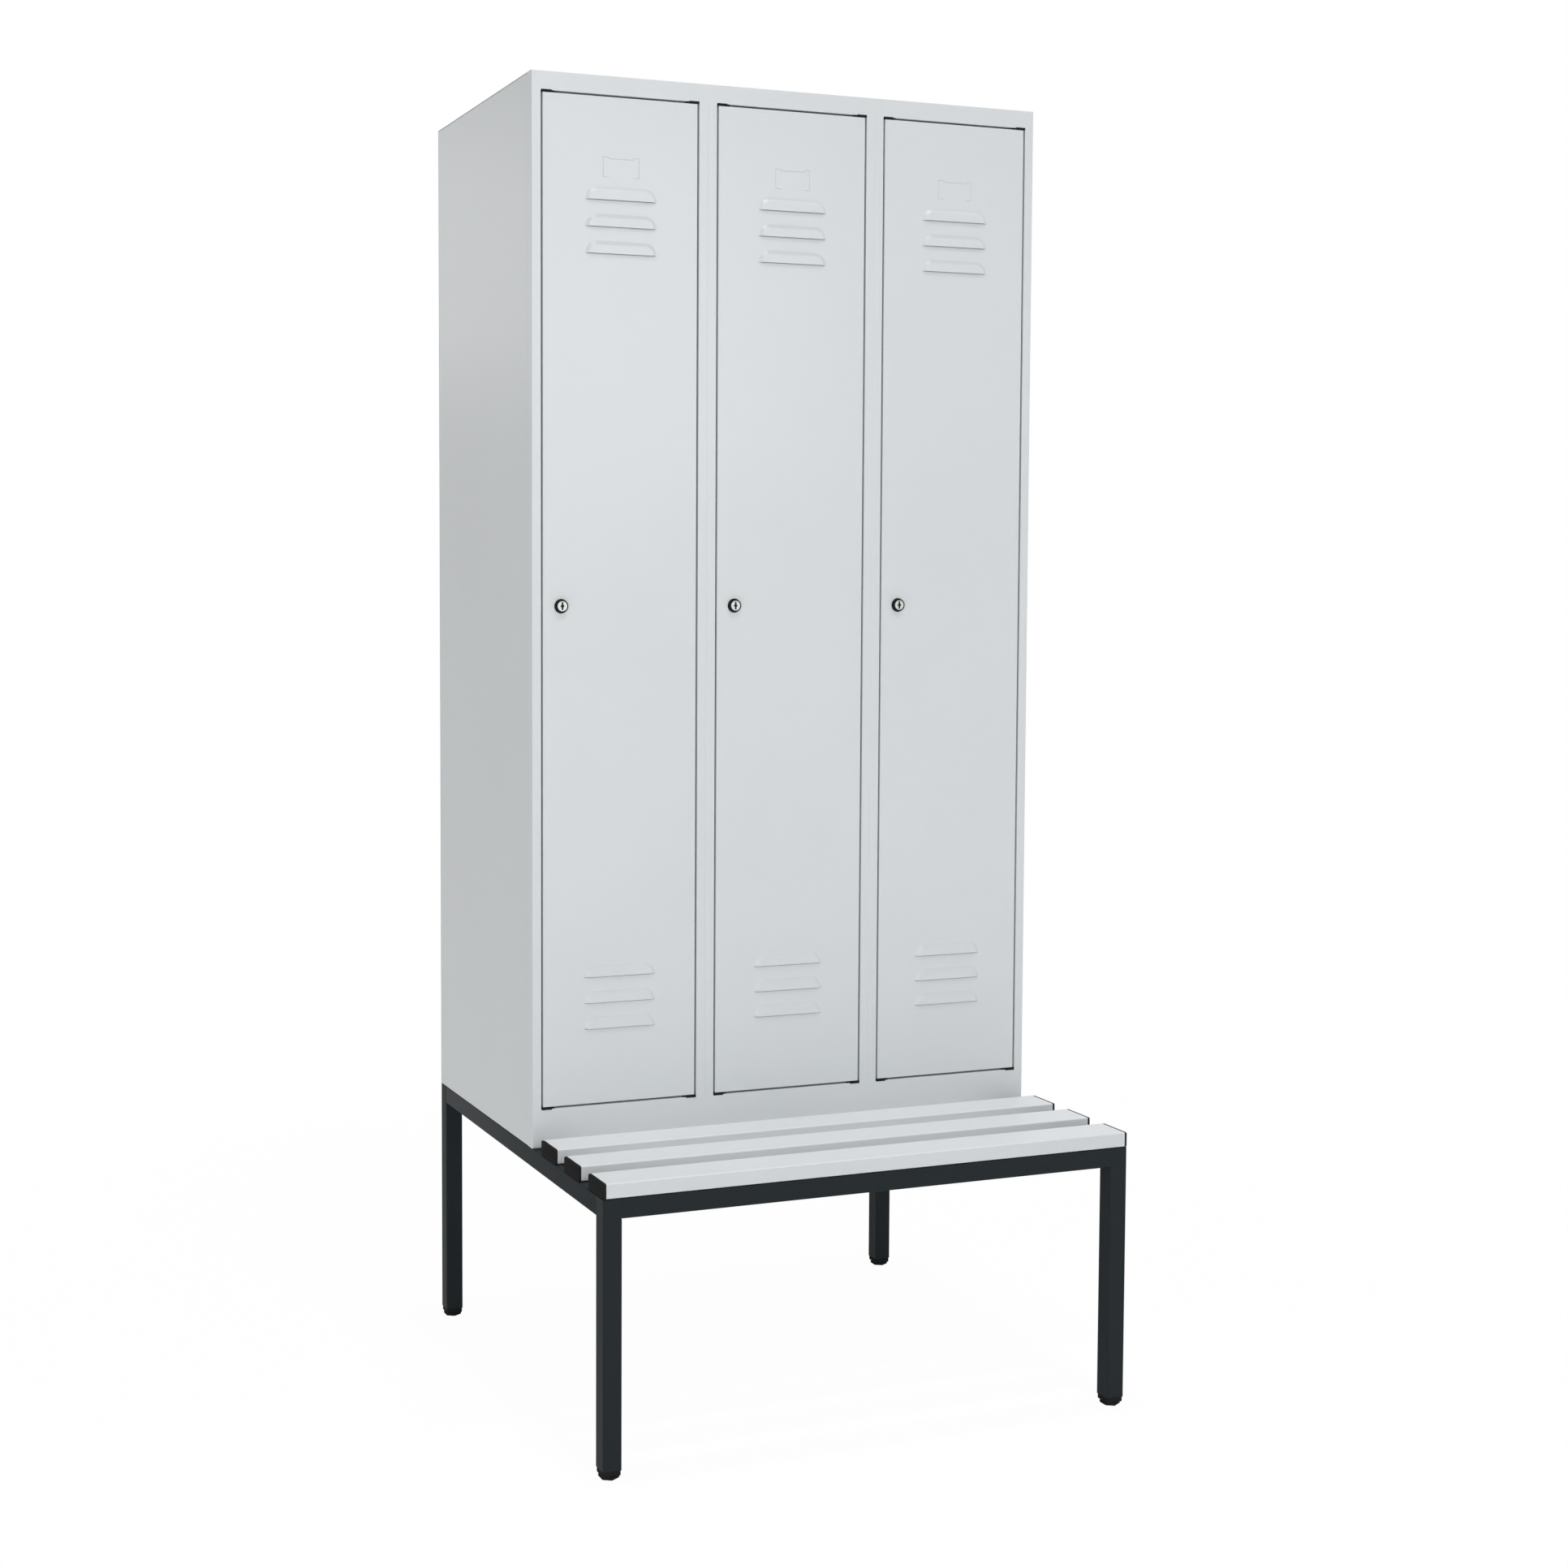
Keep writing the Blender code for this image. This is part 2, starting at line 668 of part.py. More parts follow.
def build_side_panel(side_name, side):
    """A side panel with flanges turned in at its back, top and foot, and a lap at its front."""
    outer = side * HALF_WIDTH
    low_x, high_x = sorted((outer, outer - side * PANEL_FLANGE))
    top = TOP_PLATE_UNDERSIDE - SEAT_GAP
    inward = RIGHT if side < 0 else LEFT
    panel = folded_box(
        "side_panel_" + side_name,
        (low_x, PANEL_FRONT_Y, CABINET_BOTTOM),
        (high_x, PANEL_BACK_Y, top),
        [inward, FRONT],
        LIGHT_GREY_PAINT,
    )
    lap_outer = outer - side * (SHEET + SEAT_GAP)
    lap_inner = lap_outer - side * SHEET
    web_outer = outer - side * (SHEET - WELD_OVERLAP)
    low_z = CABINET_BOTTOM + SHEET + SEAT_GAP
    high_z = top - SHEET - SEAT_GAP
    low_x, high_x = sorted((web_outer, lap_inner))
    web = boxes("web", [((low_x, PANEL_FRONT_Y, low_z), (high_x, PANEL_FRONT_Y + LAP_DEPTH, high_z))])
    low_x, high_x = sorted((lap_outer, lap_inner))
    tongue_front = PANEL_FRONT_Y - TONGUE_DEPTH
    tongue = boxes(
        "tongue",
        [((low_x, tongue_front, low_z), (high_x, PANEL_FRONT_Y + LAP_DEPTH / 2, high_z))],
    )
    panel = welded(welded(panel, web), tongue)
    settle(panel, (outer, PANEL_FRONT_Y, CABINET_BOTTOM))


def build_top_panel():
    """The top plate, with a lap at its front that goes under the frame's wrap."""
    plate = boxes(
        "top_panel",
        [((-HALF_WIDTH, PANEL_FRONT_Y, TOP_PLATE_UNDERSIDE), (HALF_WIDTH, BACK_Y, CABINET_TOP))],
        LIGHT_GREY_PAINT,
    )
    half = HALF_WIDTH - PANEL_FLANGE - SEAT_GAP
    lap_top = TOP_PLATE_UNDERSIDE - SEAT_GAP
    lap_bottom = lap_top - SHEET
    web = boxes(
        "web",
        [
            (
                (-half, PANEL_FRONT_Y, lap_bottom),
                (half, PANEL_FRONT_Y + LAP_DEPTH, TOP_PLATE_UNDERSIDE + WELD_OVERLAP),
            )
        ],
    )
    tongue_front = PANEL_FRONT_Y - TONGUE_DEPTH
    tongue = boxes(
        "tongue",
        [((-half, tongue_front, lap_bottom), (half, PANEL_FRONT_Y + LAP_DEPTH / 2, lap_top))],
    )
    plate = welded(welded(plate, web), tongue)
    settle(plate, (0, PANEL_FRONT_Y, TOP_PLATE_UNDERSIDE))


def build_carcass():
    """Front frame, side panels, top, back, floor and partitions."""
    build_front_frame()
    build_side_panel("left", -1)
    build_side_panel("right", 1)
    build_top_panel()
    back = boxes(
        "back_panel",
        [
            (
                (-HALF_WIDTH, BACK_Y - SHEET, CABINET_BOTTOM),
                (HALF_WIDTH, BACK_Y, TOP_PLATE_UNDERSIDE - SEAT_GAP),
            )
        ],
        LIGHT_GREY_PAINT,
    )
    settle(back, (0, BACK_Y, CABINET_BOTTOM))

    floor_half = HALF_WIDTH - 2 * (SHEET + SEAT_GAP)
    floor = folded_box(
        "floor_panel",
        (-floor_half, FRONT_Y + SHEET + SEAT_GAP, CABINET_BOTTOM + SHEET + SEAT_GAP),
        (floor_half, INNER_BACK_Y, FLOOR_TOP),
        [DOWN],
        LIGHT_GREY_PAINT,
    )
    settle(floor, (0, FRONT_Y, FLOOR_TOP))

    for index, name in enumerate(("partition_left", "partition_right")):
        middle = partition_middle(index)
        partition = folded_box(
            name,
            (middle - SHEET / 2, FRONT_Y + SHEET + SEAT_GAP, FLOOR_TOP + SEAT_GAP),
            (
                middle + PARTITION_FLANGE,
                PANEL_BACK_Y,
                TOP_PLATE_UNDERSIDE - SHEET - 2 * SEAT_GAP,
            ),
            [RIGHT, DOWN, UP],
            LIGHT_GREY_PAINT,
        )
        settle(partition, (middle, FRONT_Y, FLOOR_TOP))


def build_hook(index, x):
    """A sliding double hook: a sleeve round the rail, a stem and a bow with a tip to either side."""
    name = COMPARTMENTS[index]
    inner = COAT_RAIL_RADIUS + SEAT_GAP
    outer = inner + HOOK_SLEEVE_WALL
    half = HOOK_SLEEVE_LENGTH / 2
    centre = Vector((x, COAT_RAIL_Y, COAT_RAIL_HEIGHT))
    profile = [(outer, half), (outer, -half), (inner, -half), (inner, half)]
    hook = turned("coat_hook_" + name, profile, centre, ALONG_X, BLACK_PLASTIC, ring=True)
    bow_centre = (COAT_RAIL_Y, COAT_RAIL_HEIGHT - HOOK_DROP)
    bow = arc(
        bow_centre,
        HOOK_BOW_RADIUS,
        180 - HOOK_TIP_RISE_DEG,
        360 + HOOK_TIP_RISE_DEG,
        steps=2 * ARC_STEPS,
    )
    hook = welded(hook, wire("bow", [(x, y, z) for y, z in bow], HOOK_WIRE_RADIUS, BLACK_PLASTIC))
    stem_top = COAT_RAIL_HEIGHT - inner - HOOK_SLEEVE_WALL / 2
    stem_bottom = bow_centre[1] - HOOK_BOW_RADIUS
    stem = wire(
        "stem",
        [(x, COAT_RAIL_Y, stem_top), (x, COAT_RAIL_Y, stem_bottom)],
        HOOK_WIRE_RADIUS * 1.2,
        BLACK_PLASTIC,
    )
    hook = welded(hook, stem)
    settle(hook, centre, pivot("hook_slide_" + name, centre))


def build_interior():
    """Hat shelf, coat rail and sliding hook of each compartment."""
    for index, name in enumerate(COMPARTMENTS):
        left, right = compartment_walls(index)
        left += SEAT_GAP
        right -= SEAT_GAP
        middle = (left + right) / 2
        front = FRONT_Y + SHELF_SETBACK
        shelf = folded_box(
            "hat_shelf_" + name,
            (left, front, SHELF_TOP - SHELF_LIP),
            (right, INNER_BACK_Y, SHELF_TOP),
            [DOWN],
            LIGHT_GREY_PAINT,
        )
        settle(shelf, (middle, front, SHELF_TOP))

        half = (right - left) / 2
        bore = COAT_RAIL_RADIUS - COAT_RAIL_WALL
        shoulder = half - COAT_RAIL_ROSETTE_THICKNESS
        profile = [
            (COAT_RAIL_ROSETTE_RADIUS, half),
            (COAT_RAIL_ROSETTE_RADIUS, shoulder),
            (COAT_RAIL_RADIUS, shoulder),
            (COAT_RAIL_RADIUS, -shoulder),
            (COAT_RAIL_ROSETTE_RADIUS, -shoulder),
            (COAT_RAIL_ROSETTE_RADIUS, -half),
            (bore, -half),
            (bore, half),
        ]
        centre = (middle, COAT_RAIL_Y, COAT_RAIL_HEIGHT)
        rail = turned("coat_rail_" + name, profile, centre, ALONG_X, ZINC_STEEL, ring=True)
        settle(rail, centre)
        build_hook(index, middle)


def hinge_point(index, z):
    """A point on a door's hinge axis."""
    right = opening_left(index) + DOOR_GAP + DOOR_WIDTH
    return Vector((right - PIVOT_INSET, FRONT_Y + PIVOT_INSET, z))


def lock_point(index, y):
    """A point on a door lock's axis."""
    return Vector((opening_left(index) + DOOR_GAP + LOCK_INSET, y, LOCK_HEIGHT))


def louvre_lips():
    """Heights of the louvres' lips on a door."""
    upper = [DOOR_TOP - LOUVRE_TOP_OFFSET - i * LOUVRE_PITCH for i in range(LOUVRES_PER_GROUP)]
    lower = [DOOR_BOTTOM + LOUVRE_BOTTOM_OFFSET + i * LOUVRE_PITCH for i in range(LOUVRES_PER_GROUP)]
    return upper + lower


def louvre_outline(reach, drop):
    """A louvre's outline: quarter-round shoulders of radius reach, and sides that run down by drop."""
    shoulder = LOUVRE_WIDTH / 2 - LOUVRE_HEIGHT
    right = arc((shoulder, 0), reach, 0, 90)
    left = arc((-shoulder, 0), reach, 90, 180)
    ends = [(-shoulder - reach, -drop), (shoulder + reach, -drop)] if drop else []
    return right + left + ends


def add_louvre(shape, x, lip, sections, drop=0.0):
    """Add a tapered louvre block to a bmesh. Its sections are (reach, y), from base to crown."""
    rings = []
    for reach, y in sections:
        points = louvre_outline(reach, drop)
        rings.append([shape.verts.new((x + u, y, lip + v)) for u, v in points])
    shape.faces.new(rings[0])
    shape.faces.new(reversed(rings[-1]))
    count = len(rings[0])
    for near, far in zip(rings, rings[1:]):
        for i in range(count):
            j = (i + 1) % count
            shape.faces.new((near[j], near[i], far[i], far[j]))


def louvre_blocks(name, x, sections, drop=0.0):
    """The blocks of all the louvres of a door, as one object."""
    shape = bmesh.new()
    for lip in louvre_lips():
        add_louvre(shape, x, lip, sections, drop)
    bmesh.ops.recalc_face_normals(shape, faces=shape.faces)
    return mesh_object(name, shape)


def label_channels(inset, near_y, far_y):
    """The two upright channels of the label holder as boxes, made smaller by an inset."""
    middle = opening_left(0) + OPENING_WIDTH / 2
    top = DOOR_TOP - LABEL_TOP_OFFSET - inset
    bottom = DOOR_TOP - LABEL_TOP_OFFSET - LABEL_HEIGHT + inset
    half = LABEL_WIDTH / 2
    pairs = ((-half, -half + LABEL_CHANNEL), (half - LABEL_CHANNEL, half))
    return [
        ((middle + first + inset, near_y, bottom), (middle + last - inset, far_y, top))
        for first, last in pairs
    ]


def build_door_shell():
    """The first door: a folded pan with louvres, label holder, stiffener and its holes."""
    left = opening_left(0) + DOOR_GAP
    right = left + DOOR_WIDTH
    middle = (left + right) / 2
    door = folded_box(
        "door_" + COMPARTMENTS[0],
        (left, FRONT_Y, DOOR_BOTTOM),
        (right, FRONT_Y + DOOR_DEPTH, DOOR_TOP),
        [BACK],
        LIGHT_GREY_PAINT,
        lip=DOOR_LIP,
    )
    crown_reach = LOUVRE_HEIGHT - LOUVRE_SLOPE
    crown_y = FRONT_Y - LOUVRE_RISE
    edge_reach = crown_reach + LOUVRE_ROUNDING
    edge_y = crown_y + LOUVRE_ROUNDING / 2
    hood = [
        (LOUVRE_HEIGHT, FRONT_Y + WELD_OVERLAP),
        (LOUVRE_HEIGHT, FRONT_Y),
        (edge_reach, edge_y),
        (crown_reach, crown_y),
    ]
    door = welded(door, louvre_blocks("hoods", middle, hood))
    hollow = [
        (LOUVRE_HEIGHT - SHEET, FRONT_Y + SHEET + THROUGH),
        (LOUVRE_HEIGHT - SHEET, FRONT_Y + SHEET),
        (crown_reach - SHEET, crown_y + SHEET),
    ]
    hollows = louvre_blocks("hollows", middle, hollow, LOUVRE_LIP_CUT)
    door = cut(door, hollows)

    channels = label_channels(0, FRONT_Y - LABEL_RISE, FRONT_Y + WELD_OVERLAP)
    door = welded(door, boxes("channels", channels))
    pockets = label_channels(SHEET, FRONT_Y - LABEL_RISE + SHEET, FRONT_Y + SHEET + THROUGH)
    door = cut(door, boxes("pockets", pockets))

    lips = louvre_lips()
    stiffener_top = min(lips[:LOUVRES_PER_GROUP]) - STIFFENER_END_GAP
    stiffener_bottom = max(lips[LOUVRES_PER_GROUP:]) + LOUVRE_HEIGHT + STIFFENER_END_GAP
    skin_back = FRONT_Y + SHEET - WELD_OVERLAP
    half = STIFFENER_CROWN / 2
    hat = folded_box(
        "stiffener",
        (middle - half, skin_back, stiffener_bottom),
        (middle + half, skin_back + STIFFENER_HEIGHT, stiffener_top),
        [FRONT, DOWN, UP],
        LIGHT_GREY_PAINT,
    )
    feet = [
        (
            (first, skin_back, stiffener_bottom),
            (last, skin_back + WELD_OVERLAP + SHEET, stiffener_top),
        )
        for first, last in (
            (middle - half - STIFFENER_FOOT, middle - half + SHEET / 2),
            (middle + half - SHEET / 2, middle + half + STIFFENER_FOOT),
        )
    ]
    hat = welded(hat, boxes("feet", feet))
    door = welded(door, hat)

    holes = bmesh.new()
    lock_hole_radius = COLLAR_BARREL_RADIUS + SEAT_GAP
    add_cylinder(holes, lock_point(0, FRONT_Y), ALONG_Y, lock_hole_radius, 2 * (SHEET + THROUGH))
    for z in (DOOR_BOTTOM, DOOR_TOP):
        add_cylinder(holes, hinge_point(0, z), ALONG_Z, PIN_RADIUS + SEAT_GAP, 2 * (SHEET + THROUGH))
    return cut(door, mesh_object("holes", holes))


def build_lock():
    """The first door's lock: collar in the door, turning cylinder in the collar, cam behind it."""
    front = FRONT_Y - COLLAR_RISE
    flange_back = FRONT_Y - SEAT_GAP
    cylinder_back = FRONT_Y + FRAME_RETURN + SEAT_GAP
    barrel_back = cylinder_back - SEAT_GAP - SHEET
    bore = CYLINDER_RADIUS + SEAT_GAP
    origin = lock_point(0, FRONT_Y)
    name = COMPARTMENTS[0]

    collar_profile = [
        (COLLAR_BARREL_RADIUS, barrel_back - FRONT_Y),
        (COLLAR_BARREL_RADIUS, flange_back - FRONT_Y),
        (COLLAR_BASE_RADIUS, flange_back - FRONT_Y),
        (COLLAR_FRONT_RADIUS, front + COLLAR_EDGE - FRONT_Y),
        (COLLAR_FRONT_RADIUS - COLLAR_EDGE, front - FRONT_Y),
        (bore, front - FRONT_Y),
        (bore, barrel_back - FRONT_Y),
    ]
    collar = turned("lock_collar_" + name, collar_profile, origin, ALONG_Y, BLACK_PLASTIC, ring=True)

    face = front + CYLINDER_RECESS
    neck_end = cylinder_back + NECK_LENGTH
    cylinder_profile = [
        (0, neck_end - FRONT_Y),
        (NECK_RADIUS, neck_end - FRONT_Y),
        (NECK_RADIUS, cylinder_back - FRONT_Y),
        (CYLINDER_RADIUS, cylinder_back - FRONT_Y),
        (CYLINDER_RADIUS, face - FRONT_Y),
        (0, face - FRONT_Y),
    ]
    cylinder = turned("lock_cylinder_" + name, cylinder_profile, origin, ALONG_Y, LOCK_METAL)
    keyway = boxes(
        "keyway",
        [
            (
                origin + Vector((-KEYWAY_WIDTH / 2, face - FRONT_Y - THROUGH, -KEYWAY_HEIGHT / 2)),
                origin + Vector((KEYWAY_WIDTH / 2, face - FRONT_Y + KEYWAY_DEPTH, KEYWAY_HEIGHT / 2)),
            )
        ],
    )
    cylinder = cut(cylinder, keyway)
    diamond = bmesh.new()
    diamond_length = THROUGH + KEYWAY_DEPTH - WELD_OVERLAP
    diamond_middle = lock_point(0, face - THROUGH + diamond_length / 2)
    add_cylinder(diamond, diamond_middle, ALONG_Y, KEYWAY_DIAMOND, diamond_length, segments=4)
    cylinder = cut(cylinder, mesh_object("diamond", diamond))

    spread_deg = math.degrees(math.asin((CAM_HUB_RADIUS - CAM_TIP_RADIUS) / CAM_REACH))
    hub = arc((0, 0), CAM_HUB_RADIUS, -spread_deg, 180 + spread_deg, steps=2 * ARC_STEPS)
    tip = arc((0, -CAM_REACH), CAM_TIP_RADIUS, 180 + spread_deg, 360 - spread_deg, steps=2 * ARC_STEPS)
    hole = arc((0, 0), NECK_RADIUS + SEAT_GAP, 0, 345, steps=23)
    cam_middle = lock_point(0, cylinder_back + SEAT_GAP + CAM_THICKNESS / 2)
    upright = Matrix.Translation(cam_middle) @ Matrix.Rotation(math.radians(90), 4, "X")
    cam = outline_plate("lock_cam_" + name, [hub + tip, hole], CAM_THICKNESS, upright, ZINC_STEEL)
    return collar, cylinder, cam


def build_pin(name, z, side):
    """A hinge pin of the first door with its flat bush in the door gap, moulded in one.

    Side is +1 where the frame is above the door, and -1 where it is below.
    """
    top = DOOR_GAP / 2 + PIN_LENGTH_IN_FRAME
    bottom = -DOOR_GAP / 2 - PIN_LENGTH_IN_DOOR
    profile = [
        (0, top),
        (PIN_RADIUS - PIN_TIP, top),
        (PIN_RADIUS, top - PIN_TIP),
        (PIN_RADIUS, bottom + PIN_TIP),
        (PIN_RADIUS - PIN_TIP, bottom),
        (0, bottom),
    ]
    turn = ALONG_Z if side > 0 else Matrix.Rotation(math.radians(180), 4, "X")
    centre = hinge_point(0, z)
    pin = turned(name, profile, centre, turn, BLACK_PLASTIC)
    half = PIVOT_INSET - BUSH_SETBACK
    outline = arc((0, 0), half, -90, 90, steps=2 * ARC_STEPS) + [(-BUSH_REACH, half), (-BUSH_REACH, -half)]
    bush = outline_plate(
        "bush",
        [outline],
        DOOR_GAP - 2 * SEAT_GAP,
        Matrix.Translation(centre),
        BLACK_PLASTIC,
    )
    return welded(pin, bush)


def build_doors():
    """The first door with its pins and lock, then a copy of each for the other compartments."""
    top_z = DOOR_TOP + DOOR_GAP / 2
    bottom_z = DOOR_BOTTOM - DOOR_GAP / 2
    name = COMPARTMENTS[0]
    door = build_door_shell()
    top_pin = build_pin("hinge_pin_top_" + name, top_z, 1)
    bottom_pin = build_pin("hinge_pin_bottom_" + name, bottom_z, -1)
    collar, cylinder, cam = build_lock()

    hinge = pivot("door_hinge_" + name, hinge_point(0, DOOR_BOTTOM))
    turning = pivot("lock_axis_" + name, lock_point(0, FRONT_Y))
    settle(door, hinge_point(0, DOOR_BOTTOM), hinge)
    settle(top_pin, hinge_point(0, top_z))
    settle(bottom_pin, hinge_point(0, bottom_z))
    settle(collar, lock_point(0, FRONT_Y), hinge)
    settle(cylinder, lock_point(0, FRONT_Y), turning)
    settle(cam, lock_point(0, FRONT_Y), turning)

    for index in range(1, len(COMPARTMENTS)):
        name = COMPARTMENTS[index]
        hinge = pivot("door_hinge_" + name, hinge_point(index, DOOR_BOTTOM))
        turning = pivot("lock_axis_" + name, lock_point(index, FRONT_Y))
        copy_of(door, "door_" + name, hinge_point(index, DOOR_BOTTOM), hinge)
        copy_of(top_pin, "hinge_pin_top_" + name, hinge_point(index, top_z))
        copy_of(bottom_pin, "hinge_pin_bottom_" + name, hinge_point(index, bottom_z))
        copy_of(collar, "lock_collar_" + name, lock_point(index, FRONT_Y), hinge)
        copy_of(cylinder, "lock_cylinder_" + name, lock_point(index, FRONT_Y), turning)
        copy_of(cam, "lock_cam_" + name, lock_point(index, FRONT_Y), turning)


build_base()
build_bench()
build_carcass()
build_interior()
build_doors()
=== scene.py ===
"""Dress the locker with bench: pressed sheet forms, fittings, finishes, studio light and camera.

Metres, +Z up. The doors face -Y, and the origin is on the floor under the middle of the footprint.
"""

import json
import logging
import math
from dataclasses import dataclass, field
from enum import Enum
from typing import Sequence, Union

import bmesh
import bpy
import numpy as np
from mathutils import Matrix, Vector

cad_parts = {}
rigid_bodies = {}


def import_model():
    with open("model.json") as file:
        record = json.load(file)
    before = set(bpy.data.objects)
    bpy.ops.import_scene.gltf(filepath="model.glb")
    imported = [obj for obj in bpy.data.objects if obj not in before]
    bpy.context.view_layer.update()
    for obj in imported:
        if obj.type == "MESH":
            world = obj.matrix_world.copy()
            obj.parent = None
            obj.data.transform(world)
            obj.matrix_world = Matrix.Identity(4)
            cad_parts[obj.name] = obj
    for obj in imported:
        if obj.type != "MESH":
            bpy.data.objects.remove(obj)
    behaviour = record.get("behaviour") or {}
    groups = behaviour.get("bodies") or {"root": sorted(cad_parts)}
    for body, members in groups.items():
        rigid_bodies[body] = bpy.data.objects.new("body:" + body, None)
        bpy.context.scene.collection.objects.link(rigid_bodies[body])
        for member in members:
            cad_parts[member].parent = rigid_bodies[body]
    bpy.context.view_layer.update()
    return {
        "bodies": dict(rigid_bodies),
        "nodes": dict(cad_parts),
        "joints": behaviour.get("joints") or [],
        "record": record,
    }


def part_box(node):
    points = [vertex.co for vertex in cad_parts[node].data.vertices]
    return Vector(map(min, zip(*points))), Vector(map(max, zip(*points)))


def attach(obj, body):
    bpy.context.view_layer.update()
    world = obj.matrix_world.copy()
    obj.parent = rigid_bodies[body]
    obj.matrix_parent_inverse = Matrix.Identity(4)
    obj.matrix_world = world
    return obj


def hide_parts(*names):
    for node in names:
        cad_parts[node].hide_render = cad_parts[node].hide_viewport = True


LOG = logging.getLogger("locker_with_bench")

Array = np.ndarray
Colour = tuple[int, int, int]
Number = Union[int, float]

ROOT_BODY = "locker"
COMPARTMENTS = ("left", "middle", "right")
ROWS = ("front", "middle", "rear")
SIDES = ("left", "right")
MERGE_DISTANCE = 1e-6
SAME_LINE = 1e-7  # grid lines nearer to each other than this are one line
TOUCH = 1e-6  # slack with which a place counts as within an edge
HOLD = 0.0004  # width of the narrow strip that keeps a flat face flat beside a bend
HOLD_SHARE = 0.4  # largest share of half a side that such a strip takes
EDGE_BREAK = 0.0003  # width of the fine chamfers on small fittings
BEND_STEPS = 4


def linear(colour: Colour) -> tuple[float, float, float, float]:
    """Turn an 8-bit sRGB colour into a linear one, by the formula of the sRGB standard.

    Args:
        colour: Red, green and blue between 0 and 255.

    Returns:
        Linear red, green and blue, with an alpha of 1.
    """
    scaled = np.asarray(colour, float) / 255
    low = scaled / 12.92
    high = ((scaled + 0.055) / 1.055) ** 2.4
    channels = np.where(scaled <= 0.04045, low, high)
    return (float(channels[0]), float(channels[1]), float(channels[2]), 1.0)


class Signal:
    """A shader socket that carries a number. Python's operators on it add Math nodes."""

    def __init__(self, desk: "ShaderDesk", socket: bpy.types.NodeSocket) -> None:
        """Hold a socket together with the desk that its tree is edited on."""
        self.desk = desk
        self.socket = socket

    def math(self, operation: str, *terms: Union["Signal", Number]) -> "Signal":
        """Add one Math node.

        Args:
            operation: The Math node's operation.
            *terms: Its inputs, in order.

        Returns:
            The node's result.
        """
        node = self.desk.node("ShaderNodeMath", {"operation": operation}, dict(enumerate(terms)))
        return Signal(self.desk, node.outputs[0])

    def __add__(self, other: Union["Signal", Number]) -> "Signal":
        """This value plus another."""
        return self.math("ADD", self, other)

    def __radd__(self, other: Number) -> "Signal":
        """A number plus this value."""
        return self.math("ADD", other, self)

    def __sub__(self, other: Union["Signal", Number]) -> "Signal":
        """This value minus another."""
        return self.math("SUBTRACT", self, other)

    def __mul__(self, other: Union["Signal", Number]) -> "Signal":
        """This value times another."""
        return self.math("MULTIPLY", self, other)

    def __truediv__(self, other: Union["Signal", Number]) -> "Signal":
        """This value divided by another."""
        return self.math("DIVIDE", self, other)

    def held(self) -> "Signal":
        """This value held between 0 and 1."""
        return self.math("MINIMUM", self.math("MAXIMUM", self, 0.0), 1.0)

    def largest(self, other: Union["Signal", Number]) -> "Signal":
        """The larger of this value and another."""
        return self.math("MAXIMUM", self, other)


class ShaderDesk:
    """The node tree of one material or world while it is being put together."""

    def __init__(self, tree: bpy.types.NodeTree) -> None:
        """Clear a node tree and work on it."""
        self.tree = tree
        tree.nodes.clear()

    def node(
        self,
        kind: str,
        settings: Union[dict, None] = None,
        sockets: Union[dict, None] = None,
    ) -> bpy.types.Node:
        """Add a node.

        Args:
            kind: The node's type.
            settings: Its properties, which are set before its sockets.
            sockets: Values, signals or sockets for its inputs, by name or number.

        Returns:
            The node.
        """
        made = self.tree.nodes.new(kind)
        for key, value in (settings or {}).items():
            setattr(made, key, value)
        for key, value in (sockets or {}).items():
            source = value.socket if isinstance(value, Signal) else value
            if isinstance(source, bpy.types.NodeSocket):
                self.tree.links.new(source, made.inputs[key])
            else:
                made.inputs[key].default_value = source
        return made

    def signal(self, node: bpy.types.Node, output: Union[str, int] = 0) -> Signal:
        """The number that a node gives out."""
        return Signal(self, node.outputs[output])

    def place(self) -> bpy.types.NodeSocket:
        """The Object coordinates of the surface."""
        return self.node("ShaderNodeTexCoord").outputs["Object"]

    def noise(self, scale: float, detail: float = 2.0, stretch: Sequence[float] = (1, 1, 1)) -> Signal:
        """Cloudy noise over the surface.

        Args:
            scale: Cells per metre.
            detail: Octaves.
            stretch: Factor on the scale along each axis.

        Returns:
            The noise, around 0.5.
        """
        mapped = self.node("ShaderNodeMapping", None, {"Vector": self.place(), "Scale": tuple(stretch)})
        cloud = self.node(
            "ShaderNodeTexNoise",
            None,
            {"Vector": mapped.outputs[0], "Scale": scale, "Detail": detail},
        )
        return self.signal(cloud, 0)

    def blend(self, share: Signal, first: Colour, second: Colour) -> bpy.types.NodeSocket:
        """A colour between two.

        Args:
            share: How much of the second colour there is.
            first: Colour where the share is 0.
            second: Colour where the share is 1.

        Returns:
            The socket that carries the colour.
        """
        mix = self.node(
            "ShaderNodeMix",
            {"data_type": "RGBA"},
            {0: share, 6: linear(first), 7: linear(second)},
        )
        return mix.outputs[2]

    def output(self, surface: bpy.types.NodeSocket, kind: str = "ShaderNodeOutputMaterial") -> None:
        """Lead a shader to the tree's output."""
        self.node(kind, None, {"Surface": surface})


